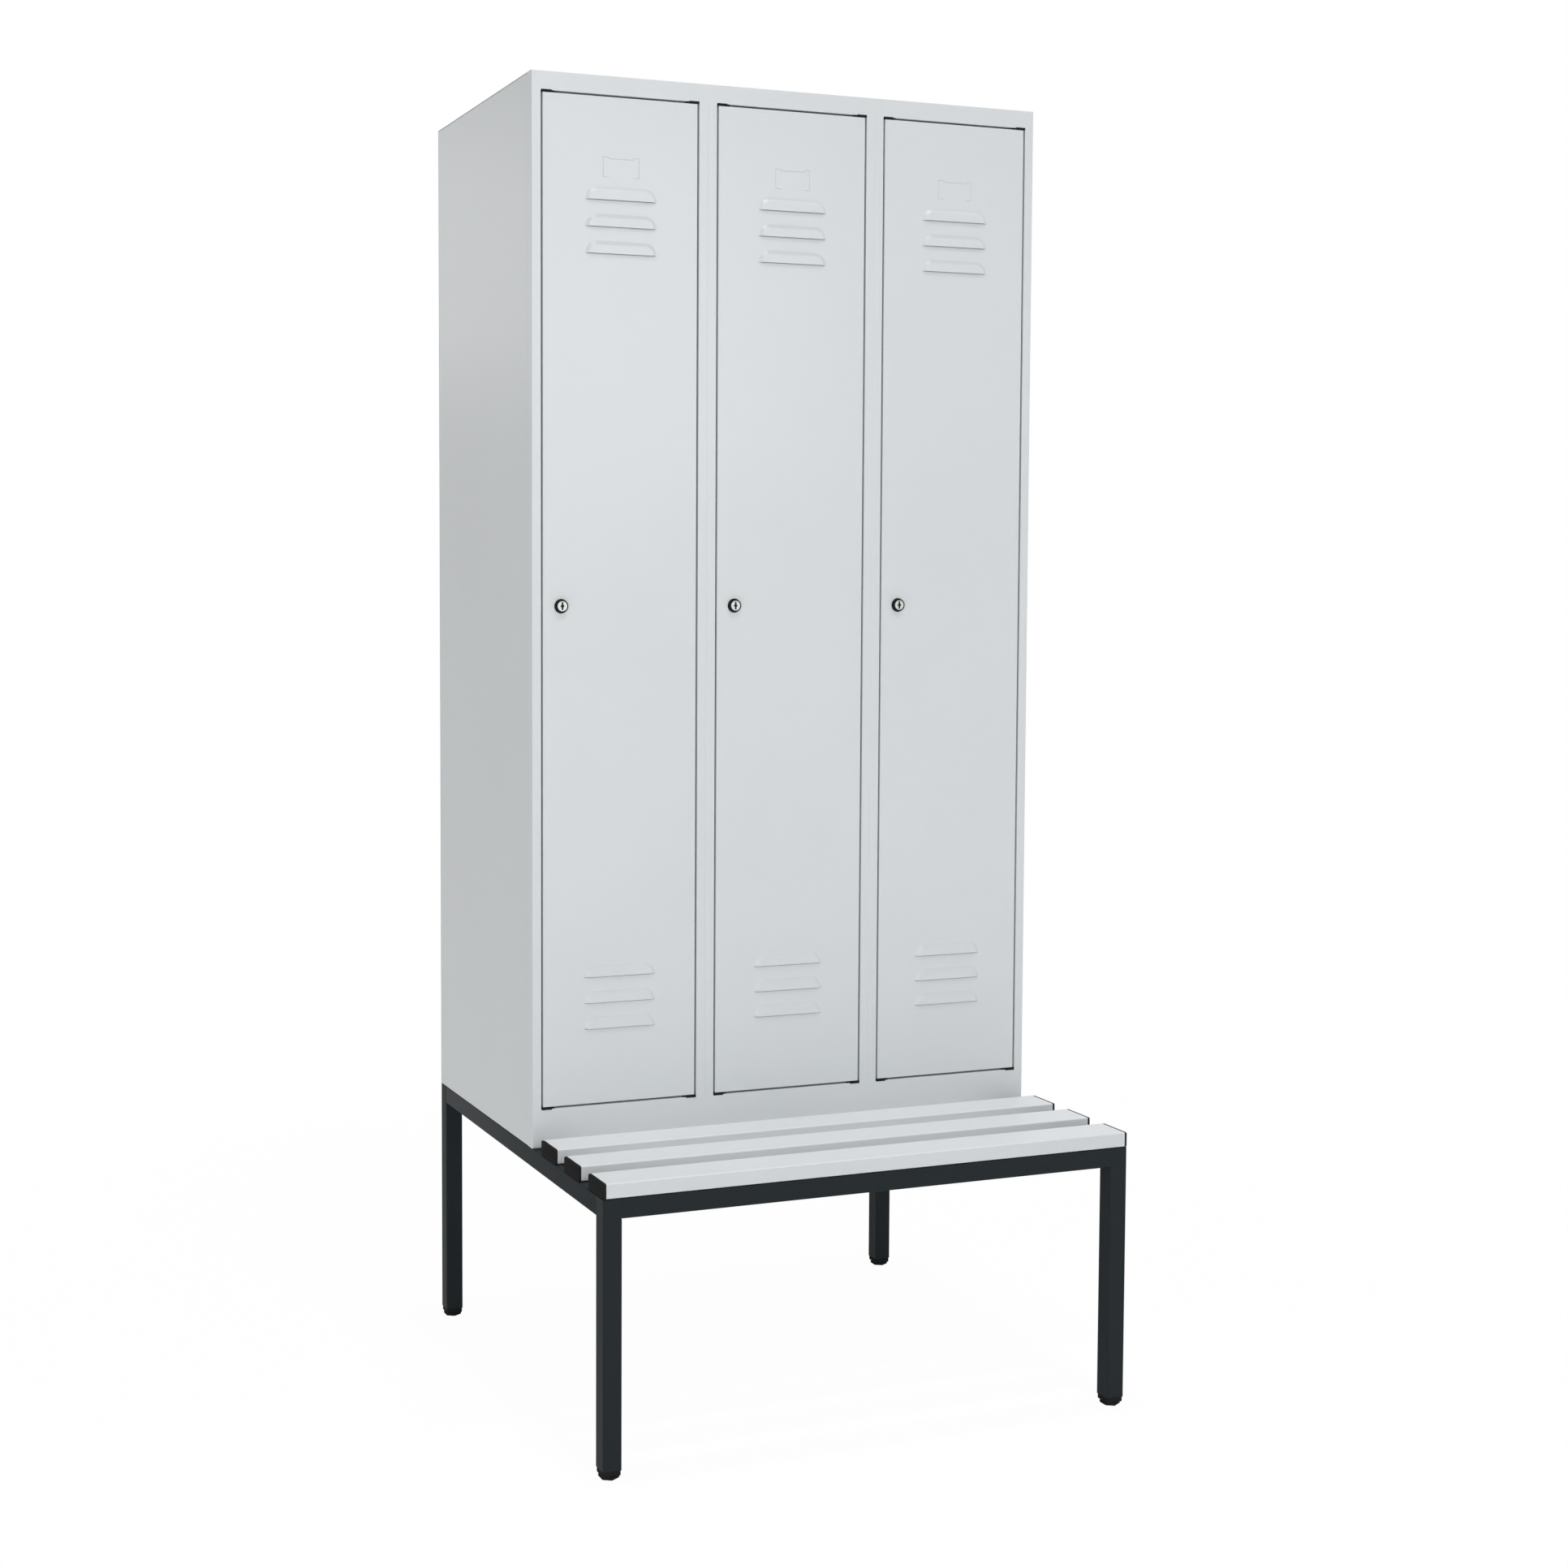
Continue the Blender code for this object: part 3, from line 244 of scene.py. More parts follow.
@dataclass(frozen=True)
class Finish:
    """A painted, moulded or plated surface with a fine grain and a slight cloudiness of tone."""

    name: str
    slot: str
    colour: Colour
    roughness: float
    metallic: float = 0.0
    tone: int = 2  # how many 8-bit steps the tone wanders to either side
    tone_scale: float = 3.0
    tone_contrast: float = 1.6
    grain_scale: float = 900.0
    grain_depth: float = 0.00001
    grain_stretch: tuple[float, float, float] = (1.0, 1.0, 1.0)
    gloss_wander: float = 0.03
    specular: float = 0.5

    def material(self) -> bpy.types.Material:
        """Give the finish's material, made when it is first asked for."""
        made = bpy.data.materials.get(self.name)
        if made:
            return made
        made = bpy.data.materials.new(self.name)
        made.use_nodes = True
        desk = ShaderDesk(made.node_tree)
        cloud = desk.noise(self.tone_scale)
        share = ((cloud - 0.5) * self.tone_contrast + 0.5).held()
        darker = tuple(max(channel - self.tone, 0) for channel in self.colour)
        lighter = tuple(min(channel + self.tone, 255) for channel in self.colour)
        grain = desk.noise(self.grain_scale, 2.0, self.grain_stretch)
        bump = desk.node(
            "ShaderNodeBump",
            None,
            {"Strength": 1.0, "Distance": self.grain_depth, "Height": grain},
        )
        gloss = self.roughness + (cloud - 0.5) * (2 * self.gloss_wander)
        shader = desk.node(
            "ShaderNodeBsdfPrincipled",
            None,
            {
                "Base Color": desk.blend(share, darker, lighter),
                "Roughness": gloss,
                "Metallic": self.metallic,
                "Specular IOR Level": self.specular,
                "Normal": bump.outputs[0],
            },
        )
        desk.output(shader.outputs[0])
        return made


LIGHT_GREY_PAINT = Finish("light grey powder coat", "light_grey_paint", (211, 215, 217), roughness=0.33)
ANTHRACITE_PAINT = Finish(
    "anthracite powder coat",
    "anthracite_paint",
    (38, 43, 46),
    roughness=0.5,
    tone=1,
    specular=0.045,
)
SLAT_PLASTIC = Finish(
    "light grey slat plastic",
    "slat_plastic",
    (205, 208, 210),
    roughness=0.45,
    grain_stretch=(0.05, 1.0, 1.0),
)
BLACK_PLASTIC = Finish(
    "black moulded plastic",
    "black_plastic",
    (38, 39, 38),
    roughness=0.65,
    tone=1,
    specular=0.008,
)
ZINC_STEEL = Finish(
    "zinc plate",
    "zinc_plated_steel",
    (176, 178, 180),
    roughness=0.34,
    metallic=1.0,
    tone=6,
    tone_scale=60.0,
)
LOCK_METAL = Finish("nickel plate", "lock_metal", (188, 189, 188), roughness=0.45, metallic=1.0, tone=1)


class Axis(Enum):
    """Direction in which a straight or a turned shape runs.

    The value tells where x, y and z come from among across, up and along.
    """

    X = (2, 0, 1)
    Y = (0, 2, 1)
    Z = (0, 1, 2)


def arc(centre: Sequence[float], radius: float, first_deg: float, last_deg: float, steps: int) -> Array:
    """Points of an arc: the centre plus the radius times cosine and sine of the angle.

    Args:
        centre: The arc's centre in its plane.
        radius: Its radius.
        first_deg: Angle of its first point.
        last_deg: Angle of its last point.
        steps: Number of equal steps between them.

    Returns:
        An array of steps + 1 points.
    """
    angles = np.radians(np.linspace(first_deg, last_deg, steps + 1))
    return np.asarray(centre) + radius * np.stack([np.cos(angles), np.sin(angles)], axis=1)


def pressed_ramp(share: Array, softness: float = 0.14) -> Array:
    """A straight ramp from 0 to 1 whose two ends are rounded by parabolas.

    Args:
        share: Place on the ramp, held between 0 and 1.
        softness: Share of the ramp that each parabola takes.

    Returns:
        The ramp's height.
    """
    held = np.clip(share, 0.0, 1.0)
    scale = 2 * softness * (1 - softness)
    foot = held * held / scale
    head = 1 - (1 - held) ** 2 / scale
    straight = (held - softness / 2) / (1 - softness)
    return np.where(held < softness, foot, np.where(held > 1 - softness, head, straight))


def rounded_rectangle(half_across: float, half_up: float, radius: float, steps: int = 5) -> Array:
    """Outline of a rectangle with round corners, and a narrow strip beside each rounding.

    Args:
        half_across: Half its width.
        half_up: Half its height.
        radius: Radius of its corners.
        steps: Steps in each corner.

    Returns:
        The outline's points, anticlockwise from the lower right corner.
    """
    across = half_across - radius
    up = half_up - radius
    hold = min(HOLD, HOLD_SHARE * across, HOLD_SHARE * up)
    parts = []
    for turn, (sign_a, sign_u) in enumerate(((1, -1), (1, 1), (-1, 1), (-1, -1))):
        corner = arc((sign_a * across, sign_u * up), radius, 90 * turn - 90, 90 * turn, steps)
        first = math.radians(90 * turn - 90)
        last = math.radians(90 * turn)
        along_first = np.array([math.sin(first), -math.cos(first)])
        along_last = np.array([-math.sin(last), math.cos(last)])
        parts += [corner[:1] + hold * along_first, corner, corner[-1:] + hold * along_last]
    return np.concatenate(parts)


def quads(rows: int, columns: int, wrap_rows: bool = False, wrap_columns: bool = False) -> Array:
    """Faces of a grid of points that are counted row by row.

    Args:
        rows: Number of rows of points.
        columns: Number of points in a row.
        wrap_rows: Whether the last row joins the first.
        wrap_columns: Whether the last column joins the first.

    Returns:
        An array (face rows, face columns, 4) of point numbers.
    """
    row = np.arange(rows if wrap_rows else rows - 1)[:, None]
    column = np.arange(columns if wrap_columns else columns - 1)[None, :]
    next_row = (row + 1) % rows
    next_column = (column + 1) % columns
    corners = [
        row * columns + column,
        row * columns + next_column,
        next_row * columns + next_column,
        next_row * columns + column,
    ]
    return np.stack(corners, axis=-1)


@dataclass
class Shell:
    """Points and faces that together make one piece."""

    points: list[Array] = field(default_factory=list)
    faces: list[list[int]] = field(default_factory=list)
    count: int = 0

    def add(self, points: Array, faces: list[list[int]]) -> "Shell":
        """Take in some points and the faces between them, and give the shell back."""
        self.faces += [[index + self.count for index in face] for face in faces]
        self.points.append(points.reshape(-1, 3))
        self.count += self.points[-1].shape[0]
        return self

    def join(self, other: "Shell") -> "Shell":
        """Take in another shell, and give this one back."""
        return self.add(np.concatenate(other.points), other.faces)

    def grid(
        self,
        points: Array,
        wrap_rows: bool = False,
        wrap_columns: bool = False,
        keep: Union[Array, None] = None,
        flip: bool = False,
    ) -> "Shell":
        """Take in a surface given as a grid of points.

        Args:
            points: An array (rows, columns, 3).
            wrap_rows: Whether the last row joins the first.
            wrap_columns: Whether the last column joins the first.
            keep: Which faces are kept, all of them if it isn't given.
            flip: Whether the faces are turned over.

        Returns:
            The shell.
        """
        faces = quads(points.shape[0], points.shape[1], wrap_rows, wrap_columns)
        faces = faces[keep] if keep is not None else faces.reshape(-1, 4)
        if flip:
            faces = faces[:, ::-1]
        return self.add(points, faces.tolist())

    def cap(self, ring: Array) -> "Shell":
        """Take in one flat face through a ring of points."""
        return self.add(ring, [list(range(ring.shape[0]))])

    def mesh(self, name: str, closed: bool) -> bpy.types.Mesh:
        """Make a mesh of the shell, with the points that coincide merged.

        Args:
            name: The mesh's name.
            closed: Whether the shell is closed, so that its faces can be turned outwards.

        Returns:
            The mesh.
        """
        made = bpy.data.meshes.new(name)
        made.from_pydata(np.concatenate(self.points).tolist(), [], self.faces)
        return merged(made, closed)

    def piece(
        self,
        name: str,
        finish: Finish,
        body: str = ROOT_BODY,
        replaces: Sequence[str] = (),
        sheet: float = 0.0,
        sharp_deg: float = 35.0,
    ) -> bpy.types.Object:
        """Make a finished piece of the shell.

        Args:
            name: The piece's name.
            finish: What its surface is finished in.
            body: The moving body that it belongs to.
            replaces: CAD nodes that it stands for.
            sheet: Wall thickness of an open sheet, 0 for a closed solid.
            sharp_deg: Angle from which an edge is shaded sharp.

        Returns:
            The piece.
        """
        made = bpy.data.objects.new(name, self.mesh(name, closed=not sheet))
        bpy.context.scene.collection.objects.link(made)
        if sheet:
            wall = made.modifiers.new("wall", "SOLIDIFY")
            wall.thickness = sheet
            wall.offset = -1
            wall.use_even_offset = True
            settle_modifiers(made)
        return finished(made, finish, body, replaces, sharp_deg)

    def stand_in(self, node: str, ending: str, finish: Finish, body: str = ROOT_BODY) -> bpy.types.Object:
        """Make a finished piece that stands for one CAD node and is called after it."""
        return self.piece(f"{node}_{ending}", finish, body, (node,))


def merged(mesh: bpy.types.Mesh, closed: bool) -> bpy.types.Mesh:
    """Merge the points of a mesh that coincide.

    Args:
        mesh: The mesh to change.
        closed: Whether its faces are turned outwards too.

    Returns:
        The same mesh.
    """
    shape = bmesh.new()
    shape.from_mesh(mesh)
    bmesh.ops.remove_doubles(shape, verts=shape.verts, dist=MERGE_DISTANCE)
    bmesh.ops.dissolve_degenerate(shape, edges=shape.edges, dist=MERGE_DISTANCE)
    if closed:
        bmesh.ops.recalc_face_normals(shape, faces=shape.faces)
    shape.to_mesh(mesh)
    shape.free()
    return mesh


def settle_modifiers(piece: bpy.types.Object) -> None:
    """Replace a piece's mesh by the mesh that its modifiers give."""
    bpy.context.view_layer.update()
    evaluated = piece.evaluated_get(bpy.context.evaluated_depsgraph_get())
    mesh = bpy.data.meshes.new_from_object(evaluated)
    piece.modifiers.clear()
    piece.data = mesh


def finished(
    piece: bpy.types.Object,
    finish: Finish,
    body: str,
    replaces: Sequence[str] = (),
    sharp_deg: float = 35.0,
) -> bpy.types.Object:
    """Give a piece its finish, its shading and its body.

    Args:
        piece: The piece.
        finish: What its surface is finished in.
        body: The moving body that it belongs to.
        replaces: CAD nodes that it stands for.
        sharp_deg: Angle from which an edge is shaded sharp.

    Returns:
        The same piece.
    """
    piece.data.materials.clear()
    piece.data.materials.append(finish.material())
    piece.data.shade_smooth()
    piece.data.set_sharp_from_angle(angle=math.radians(sharp_deg))
    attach(piece, body)
    if replaces:
        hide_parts(*replaces)
    return piece


def refined(
    frame: dict,
    node: str,
    finish: Finish,
    body: str = ROOT_BODY,
    edge: float = 0.0,
) -> bpy.types.Object:
    """Show a CAD node through a merged copy with even shading.

    Args:
        node: The CAD node's name.
        finish: What its surface is finished in.
        body: The moving body that it belongs to.
        edge: Width by which its sharp edges are broken, 0 for none.

    Returns:
        The copy, which stands for the node.
    """
    mesh = merged(frame["nodes"][node].data.copy(), closed=False)
    made = bpy.data.objects.new(node + "_shown", mesh)
    bpy.context.scene.collection.objects.link(made)
    if edge:
        rim = made.modifiers.new("edge", "BEVEL")
        rim.width = edge
        rim.segments = 2
        rim.limit_method = "ANGLE"
        rim.angle_limit = math.radians(40)
        settle_modifiers(made)
    finished(made, finish, body, (node,))
    even = made.modifiers.new("even shading", "WEIGHTED_NORMAL")
    even.keep_sharp = True
    even.weight = 100
    return made


def prism(outline: Array, stations: Sequence[float], axis: Axis, centre: Sequence[float]) -> Shell:
    """A closed solid: a flat outline carried straight along an axis.

    Args:
        outline: Points (across, up), or one such array for each station.
        stations: Places along the axis at which the outline stands.
        axis: The axis.
        centre: The point that the outline and the stations are counted from.

    Returns:
        The solid's shell.
    """
    rings = np.broadcast_to(outline, (len(stations), *np.shape(outline)[-2:]))
    along = np.broadcast_to(np.asarray(stations)[:, None, None], (*rings.shape[:2], 1))
    points = np.concatenate([rings, along], axis=2)[..., axis.value] + np.asarray(centre)
    shell = Shell().grid(points, wrap_columns=True)
    return shell.cap(points[0]).cap(points[-1])


def lathe(
    profile: Array,
    axis: Axis,
    centre: Sequence[float],
    steps: int,
    ring: bool = False,
) -> Shell:
    """A turned shape: each profile radius times cosine and sine of the angle, at its height.

    Args:
        profile: Points (radius, height).
        axis: The axis that it is turned about.
        centre: The point on the axis at height 0.
        steps: Number of steps round the axis.
        ring: Whether the profile closes on itself.

    Returns:
        The shape's shell.
    """
    angles = np.linspace(0, 2 * math.pi, steps, endpoint=False)
    radius = profile[:, 0][:, None]
    across = radius * np.cos(angles)
    up = radius * np.sin(angles)
    along = np.broadcast_to(profile[:, 1][:, None], across.shape)
    points = np.stack([across, up, along], axis=2)[..., axis.value] + np.asarray(centre)
    return Shell().grid(points, wrap_rows=ring, wrap_columns=True)


def hexagon(first_deg: float) -> Array:
    """Corners of a hexagon that measures 2 across its flats, from the angle of its first corner."""
    angles = np.radians(np.arange(first_deg, first_deg + 360, 60))
    return np.stack([np.cos(angles), np.sin(angles)], axis=1) / math.cos(math.radians(30))


def rectangle_loop(columns: Array, rows: Array) -> tuple[Array, Array]:
    """Walk round the edge of a rectangular grid.

    Args:
        columns: The grid's places across.
        rows: The grid's places up.

    Returns:
        The points (across, up) of the loop, anticlockwise from the lower left corner, and for each the
        direction that leads outwards, which is slanting at the corners.
    """
    low = np.stack([columns[:-1], np.full(columns.size - 1, rows[0])], axis=1)
    right = np.stack([np.full(rows.size - 1, columns[-1]), rows[:-1]], axis=1)
    high = np.stack([columns[:0:-1], np.full(columns.size - 1, rows[-1])], axis=1)
    left = np.stack([np.full(rows.size - 1, columns[0]), rows[:0:-1]], axis=1)
    loop = np.concatenate([low, right, high, left])
    outward = np.stack(
        [
            (loop[:, 0] == columns[-1]).astype(float) - (loop[:, 0] == columns[0]),
            (loop[:, 1] == rows[-1]).astype(float) - (loop[:, 1] == rows[0]),
        ],
        axis=1,
    )
    return loop, outward


def sheet_points(columns: Array, heights: Array, back: Array) -> Array:
    """Points of an upright sheet.

    Args:
        columns: Places of its grid lines across.
        heights: Heights of its grid lines.
        back: Where each point lies from front to back, as an array (heights, columns).

    Returns:
        An array (heights, columns, 3).
    """
    across, up = np.meshgrid(columns, heights)
    return np.stack([across, back, up], axis=2)


def edge_fold(bend: float, depth: float) -> Array:
    """Section (outwards, back) of an edge that is folded back: the bend and the straight side."""
    side = [[bend, bend + HOLD], [bend, depth]]
    return np.concatenate([arc((0, bend), bend, -90, 0, BEND_STEPS), side])


def skirt(
    columns: Array,
    rows: Array,
    profile: Array,
    front_y: float,
    inwards: bool = False,
) -> tuple[Array, bool]:
    """A folded edge round a flat rectangle: its loop moved outwards and back by the profile.

    Args:
        columns: Places across of the loop's points.
        rows: Places up of the loop's points.
        profile: Points (outwards, back) of the fold's section.
        front_y: Where the flat rectangle lies.
        inwards: Whether the fold goes into a hole rather than round an edge.

    Returns:
        The grid of points, and whether its faces have to be turned over to face outwards.
    """
    loop, outward = rectangle_loop(columns, rows)
    sign = -1.0 if inwards else 1.0
    across = loop[None, :, 0] + sign * profile[:, 0][:, None] * outward[None, :, 0]
    up = loop[None, :, 1] + sign * profile[:, 0][:, None] * outward[None, :, 1]
    back = np.broadcast_to(front_y + profile[:, 1][:, None], across.shape)
    return np.stack([across, back, up], axis=2), not inwards


@dataclass(frozen=True)
class Places:
    """Main planes and sizes of the locker."""

    half_width: float = 0.45
    front_y: float = -0.0925
    back_y: float = 0.4075
    base_front_y: float = -0.4075
    cabinet_bottom: float = 0.4223
    cabinet_top: float = 2.1223
    opening_bottom: float = 0.4846
    opening_top: float = 2.0928
    opening_width: float = 0.269
    side_stile: float = 0.0155
    middle_stile: float = 0.031
    door_gap: float = 0.003
    sheet: float = 0.0008
    bend: float = 0.0012
    pivot_inset: float = 0.005
    lock_inset: float = 0.0305

    def opening_left(self, index: int) -> float:
        """Left edge of a door opening."""
        return -self.half_width + self.side_stile + index * (self.opening_width + self.middle_stile)

    def opening_right(self, index: int) -> float:
        """Right edge of a door opening."""
        return self.opening_left(index) + self.opening_width

    def door_middle(self, index: int) -> float:
        """Middle of a door across its width."""
        return self.opening_left(index) + self.opening_width / 2

    def hinge_x(self, index: int) -> float:
        """Where a door's hinge axis stands across the width."""
        return self.opening_right(index) - self.door_gap - self.pivot_inset

    def lock_x(self, index: int) -> float:
        """Where a door's lock stands across the width."""
        return self.opening_left(index) + self.door_gap + self.lock_inset

    def lock_z(self) -> float:
        """Height of the locks."""
        return (self.opening_bottom + self.opening_top) / 2


PLACES = Places()


@dataclass
class DoorLeaf:
    """A folded steel door with louvres, a pressed label holder and a stiffener."""

    index: int
    depth: float = 0.018
    lip: float = 0.010
    louvre_count: int = 3
    louvre_width: float = 0.122
    louvre_height: float = 0.020
    louvre_slope: float = 0.0067
    louvre_rise: float = 0.0036
    louvre_pitch: float = 0.042
    louvre_from_top: float = 0.1608
    louvre_from_bottom: float = 0.1219
    louvre_step: float = 0.00065
    louvre_margin: float = 0.0012
    shoulder_margin: float = 0.001
    groove_depths: tuple[float, float] = (0.0003, 0.0015)
    groove_height: float = 0.0018
    label_from_top: float = 0.0935
    label_width: float = 0.061
    label_height: float = 0.0314
    label_channel: float = 0.0097
    label_cut: float = 0.0008
    label_cut_width: float = 0.0013
    label_notch: float = 0.0028
    stiffener_crown: float = 0.034
    stiffener_height: float = 0.013
    stiffener_foot: float = 0.012
    stiffener_end_gap: float = 0.045
    sharp_deg: float = 48.0

    @property
    def name(self) -> str:
        """The door's name."""
        return "door_" + COMPARTMENTS[self.index]

    @property
    def half_width(self) -> float:
        """Half the door's width."""
        return PLACES.opening_width / 2 - PLACES.door_gap

    @property
    def bottom(self) -> float:
        """Height of the door's lower edge."""
        return PLACES.opening_bottom + PLACES.door_gap

    @property
    def top(self) -> float:
        """Height of the door's upper edge."""
        return PLACES.opening_top - PLACES.door_gap

    def lips(self) -> Array:
        """Heights of the louvres' lips, the upper row first."""
        steps = self.louvre_pitch * np.arange(self.louvre_count)
        upper = self.top - self.louvre_from_top - steps
        lower = self.bottom + self.louvre_from_bottom + steps
        return np.concatenate([upper, lower])

    def cut_lines(self) -> Array:
        """Places of the grid lines that shape one cut of the label holder, counted from its middle."""
        return self.label_cut_width / 2 * np.array([-1.5, -1.0, 0.0, 1.0, 1.5])

    def hood_lines(self, first: float) -> Array:
        """Places of the grid lines that shape a hood, over its height from a first place on."""
        count = round(self.louvre_height / self.louvre_step) + 1
        return np.linspace(first, first + self.louvre_height, count)

    def columns(self) -> Array:
        """Places of the skin's grid lines across the door, counted from its middle."""
        flat = self.half_width - PLACES.bend
        half = self.louvre_width / 2
        shoulder = half - self.louvre_height
        clear = half + self.louvre_margin
        cut = self.cut_lines()
        right = np.concatenate(
            [
                [0.0, flat - HOLD, flat, clear, clear + HOLD, shoulder - self.shoulder_margin],
                self.hood_lines(shoulder),
                self.label_width / 2 + cut,
                self.label_width / 2 - self.label_channel + cut,
            ]
        )
        return np.unique(np.round(np.concatenate([-right, right]), 7))

    def rows(self) -> tuple[Array, Array]:
        """Heights of the skin's grid lines, with two lines at each louvre's lip.

        Returns:
            The heights, and which of them are the lower line of a lip.
        """
        lips = self.lips()
        hood = (lips[:, None] + self.hood_lines(0.0)[None, 1:]).ravel()
        edges = np.array([self.bottom + PLACES.bend, self.bottom + PLACES.bend + HOLD])
        edges_top = np.array([self.top - PLACES.bend - HOLD, self.top - PLACES.bend])
        label_top = self.top - self.label_from_top
        cut = self.cut_lines()
        label = np.concatenate(
            [label_top + cut, label_top - self.label_notch + cut, label_top - self.label_height + cut]
        )
        foot = lips - self.groove_height
        guards = np.concatenate([foot - HOLD, foot, lips + self.louvre_height + self.louvre_margin])
        others = np.unique(np.round(np.concatenate([hood, edges, edges_top, label, guards]), 7))
        heights = np.concatenate([others, np.repeat(lips, 2)])
        lower = np.concatenate([np.zeros(others.size, bool), np.tile([True, False], lips.size)])
        order = np.lexsort((~lower, heights))
        return heights[order], lower[order]

    def louvre_relief(self, across: Array, up: Array, lower: Array) -> Array:
        """How far the louvres stand out of the skin.

        A hood is highest over its crown and runs down smoothly over the slope's width towards its
        outline. The distance that counts is the height above the lip between the shoulders' centres,
        and the distance from the nearer centre outside them. Below the lip there is no hood: there the
        sheet slopes back evenly into a groove, which is deepest right under the lip, and deeper at the
        lower louvres than at the upper ones.

        Args:
            across: Places across, as a row.
            up: Heights, as a column.
            lower: Which heights are the lower line of a lip, as a column.

        Returns:
            The relief in metres.
        """
        shoulder = self.louvre_width / 2 - self.louvre_height
        above = up[None] - self.lips()[:, None, None]
        beside = np.maximum(np.abs(across) - shoulder, 0.0)[None]
        distance = np.hypot(beside, above)
        height = self.louvre_rise * pressed_ramp((self.louvre_height - distance) / self.louvre_slope)
        under_lip = (np.abs(above) < SAME_LINE) & lower[None]
        hooded = (above > -SAME_LINE) & ~under_lip
        grooved = under_lip & (np.abs(across) < self.louvre_width / 2 + TOUCH)[None]
        depths = np.repeat(self.groove_depths, self.louvre_count)[:, None, None]
        return (np.where(hooded, height, 0.0) - np.where(grooved, depths, 0.0)).sum(axis=0)

    def label_relief(self, across: Array, up: Array) -> Array:
        """The fine cuts that outline the label holder, as valleys in the skin.

        A valley's depth falls off evenly with the distance from its line. The lines are the two sides,
        the tops and feet of the two tongues, the steps inside the tongues and the lower edge between them.

        Args:
            across: Places across, as a row.
            up: Heights, as a column.

        Returns:
            The relief in metres, which is negative in the cuts.
        """
        half = self.label_width / 2
        inner = half - self.label_channel
        top = self.top - self.label_from_top
        foot = top - self.label_height
        notch = top - self.label_notch
        reach = self.label_cut_width / 2
        beside = np.abs(across)
        tongue = (beside > inner - TOUCH) & (beside < half + TOUCH)
        between = beside < inner + TOUCH
        tall = (up < top + TOUCH) & (up > foot - TOUCH)
        step = (up < top + TOUCH) & (up > notch - TOUCH)
        cuts = (
            (beside - half, tall),
            (beside - inner, step),
            (up - top, tongue),
            (up - foot, tongue),
            (up - notch, between),
        )
        deepest = np.zeros(np.broadcast_shapes(across.shape, up.shape))
        for distance, where in cuts:
            deepest = np.maximum(deepest, np.clip(1 - np.abs(distance) / reach, 0, 1) * where)
        return -self.label_cut * deepest

    def fold(self) -> Array:
        """Section of the folded edge: a bend, the side, a second bend and the lip turned in."""
        bend = PLACES.bend
        second = arc((0, self.depth - bend), bend, 0, 90, BEND_STEPS)
        lip = [[-HOLD, self.depth], [bend - self.lip, self.depth]]
        return np.concatenate([edge_fold(bend, self.depth - bend - HOLD), second, lip])

    def skin(self) -> bpy.types.Object:
        """Make the door's folded and pressed sheet."""
        columns = self.columns()
        heights, lower = self.rows()
        across = columns[None, :]
        up = heights[:, None]
        relief = self.louvre_relief(across, up, lower[:, None]) + self.label_relief(across, up)
        places = columns + PLACES.door_middle(self.index)
        points = sheet_points(places, heights, PLACES.front_y - relief)
        solid = np.diff(heights) > SAME_LINE
        keep = np.broadcast_to(solid[:, None], (heights.size - 1, columns.size - 1))
        shell = Shell().grid(points, keep=keep)
        edge, flip = skirt(places, np.unique(np.round(heights, 9)), self.fold(), PLACES.front_y)
        shell.grid(edge, wrap_columns=True, flip=flip)
        name = self.name
        return shell.piece(name + "_skin", LIGHT_GREY_PAINT, name, (name,), PLACES.sheet, self.sharp_deg)

    def stiffener(self) -> bpy.types.Object:
        """Make the hat-shaped stiffener that is welded to the skin's back."""
        lips = self.lips()
        high = lips[: self.louvre_count].min() - self.stiffener_end_gap
        low = lips[self.louvre_count :].max() + self.louvre_height + self.stiffener_end_gap
        half = self.stiffener_crown / 2
        bend = PLACES.bend
        back = PLACES.front_y + PLACES.sheet
        crown_y = back + self.stiffener_height
        foot_y = back + PLACES.sheet
        right = np.concatenate(
            [
                [[0.0, crown_y], [half - bend - HOLD, crown_y]],
                arc((half - bend, crown_y - bend), bend, 90, 0, BEND_STEPS),
                [[half, crown_y - bend - HOLD], [half, foot_y + bend + HOLD]],
                arc((half + bend, foot_y + bend), bend, 180, 270, BEND_STEPS),
                [[half + bend + HOLD, foot_y], [half + self.stiffener_foot, foot_y]],
            ]
        )
        left = right[:0:-1] * [-1, 1]
        section = np.concatenate([left, right]) + [PLACES.door_middle(self.index), 0]
        stations = np.array([low, high])
        points = np.empty((2, section.shape[0], 3))
        points[..., :2] = section[None]
        points[..., 2] = stations[:, None]
        shell = Shell().grid(points, flip=True)
        return shell.piece(self.name + "_stiffener", LIGHT_GREY_PAINT, self.name, (), PLACES.sheet)

    def build(self) -> None:
        """Make the door's pieces."""
        self.skin()
        self.stiffener()
        LOG.info("%s: skin with %d louvres, stiffener", self.name, self.lips().size)


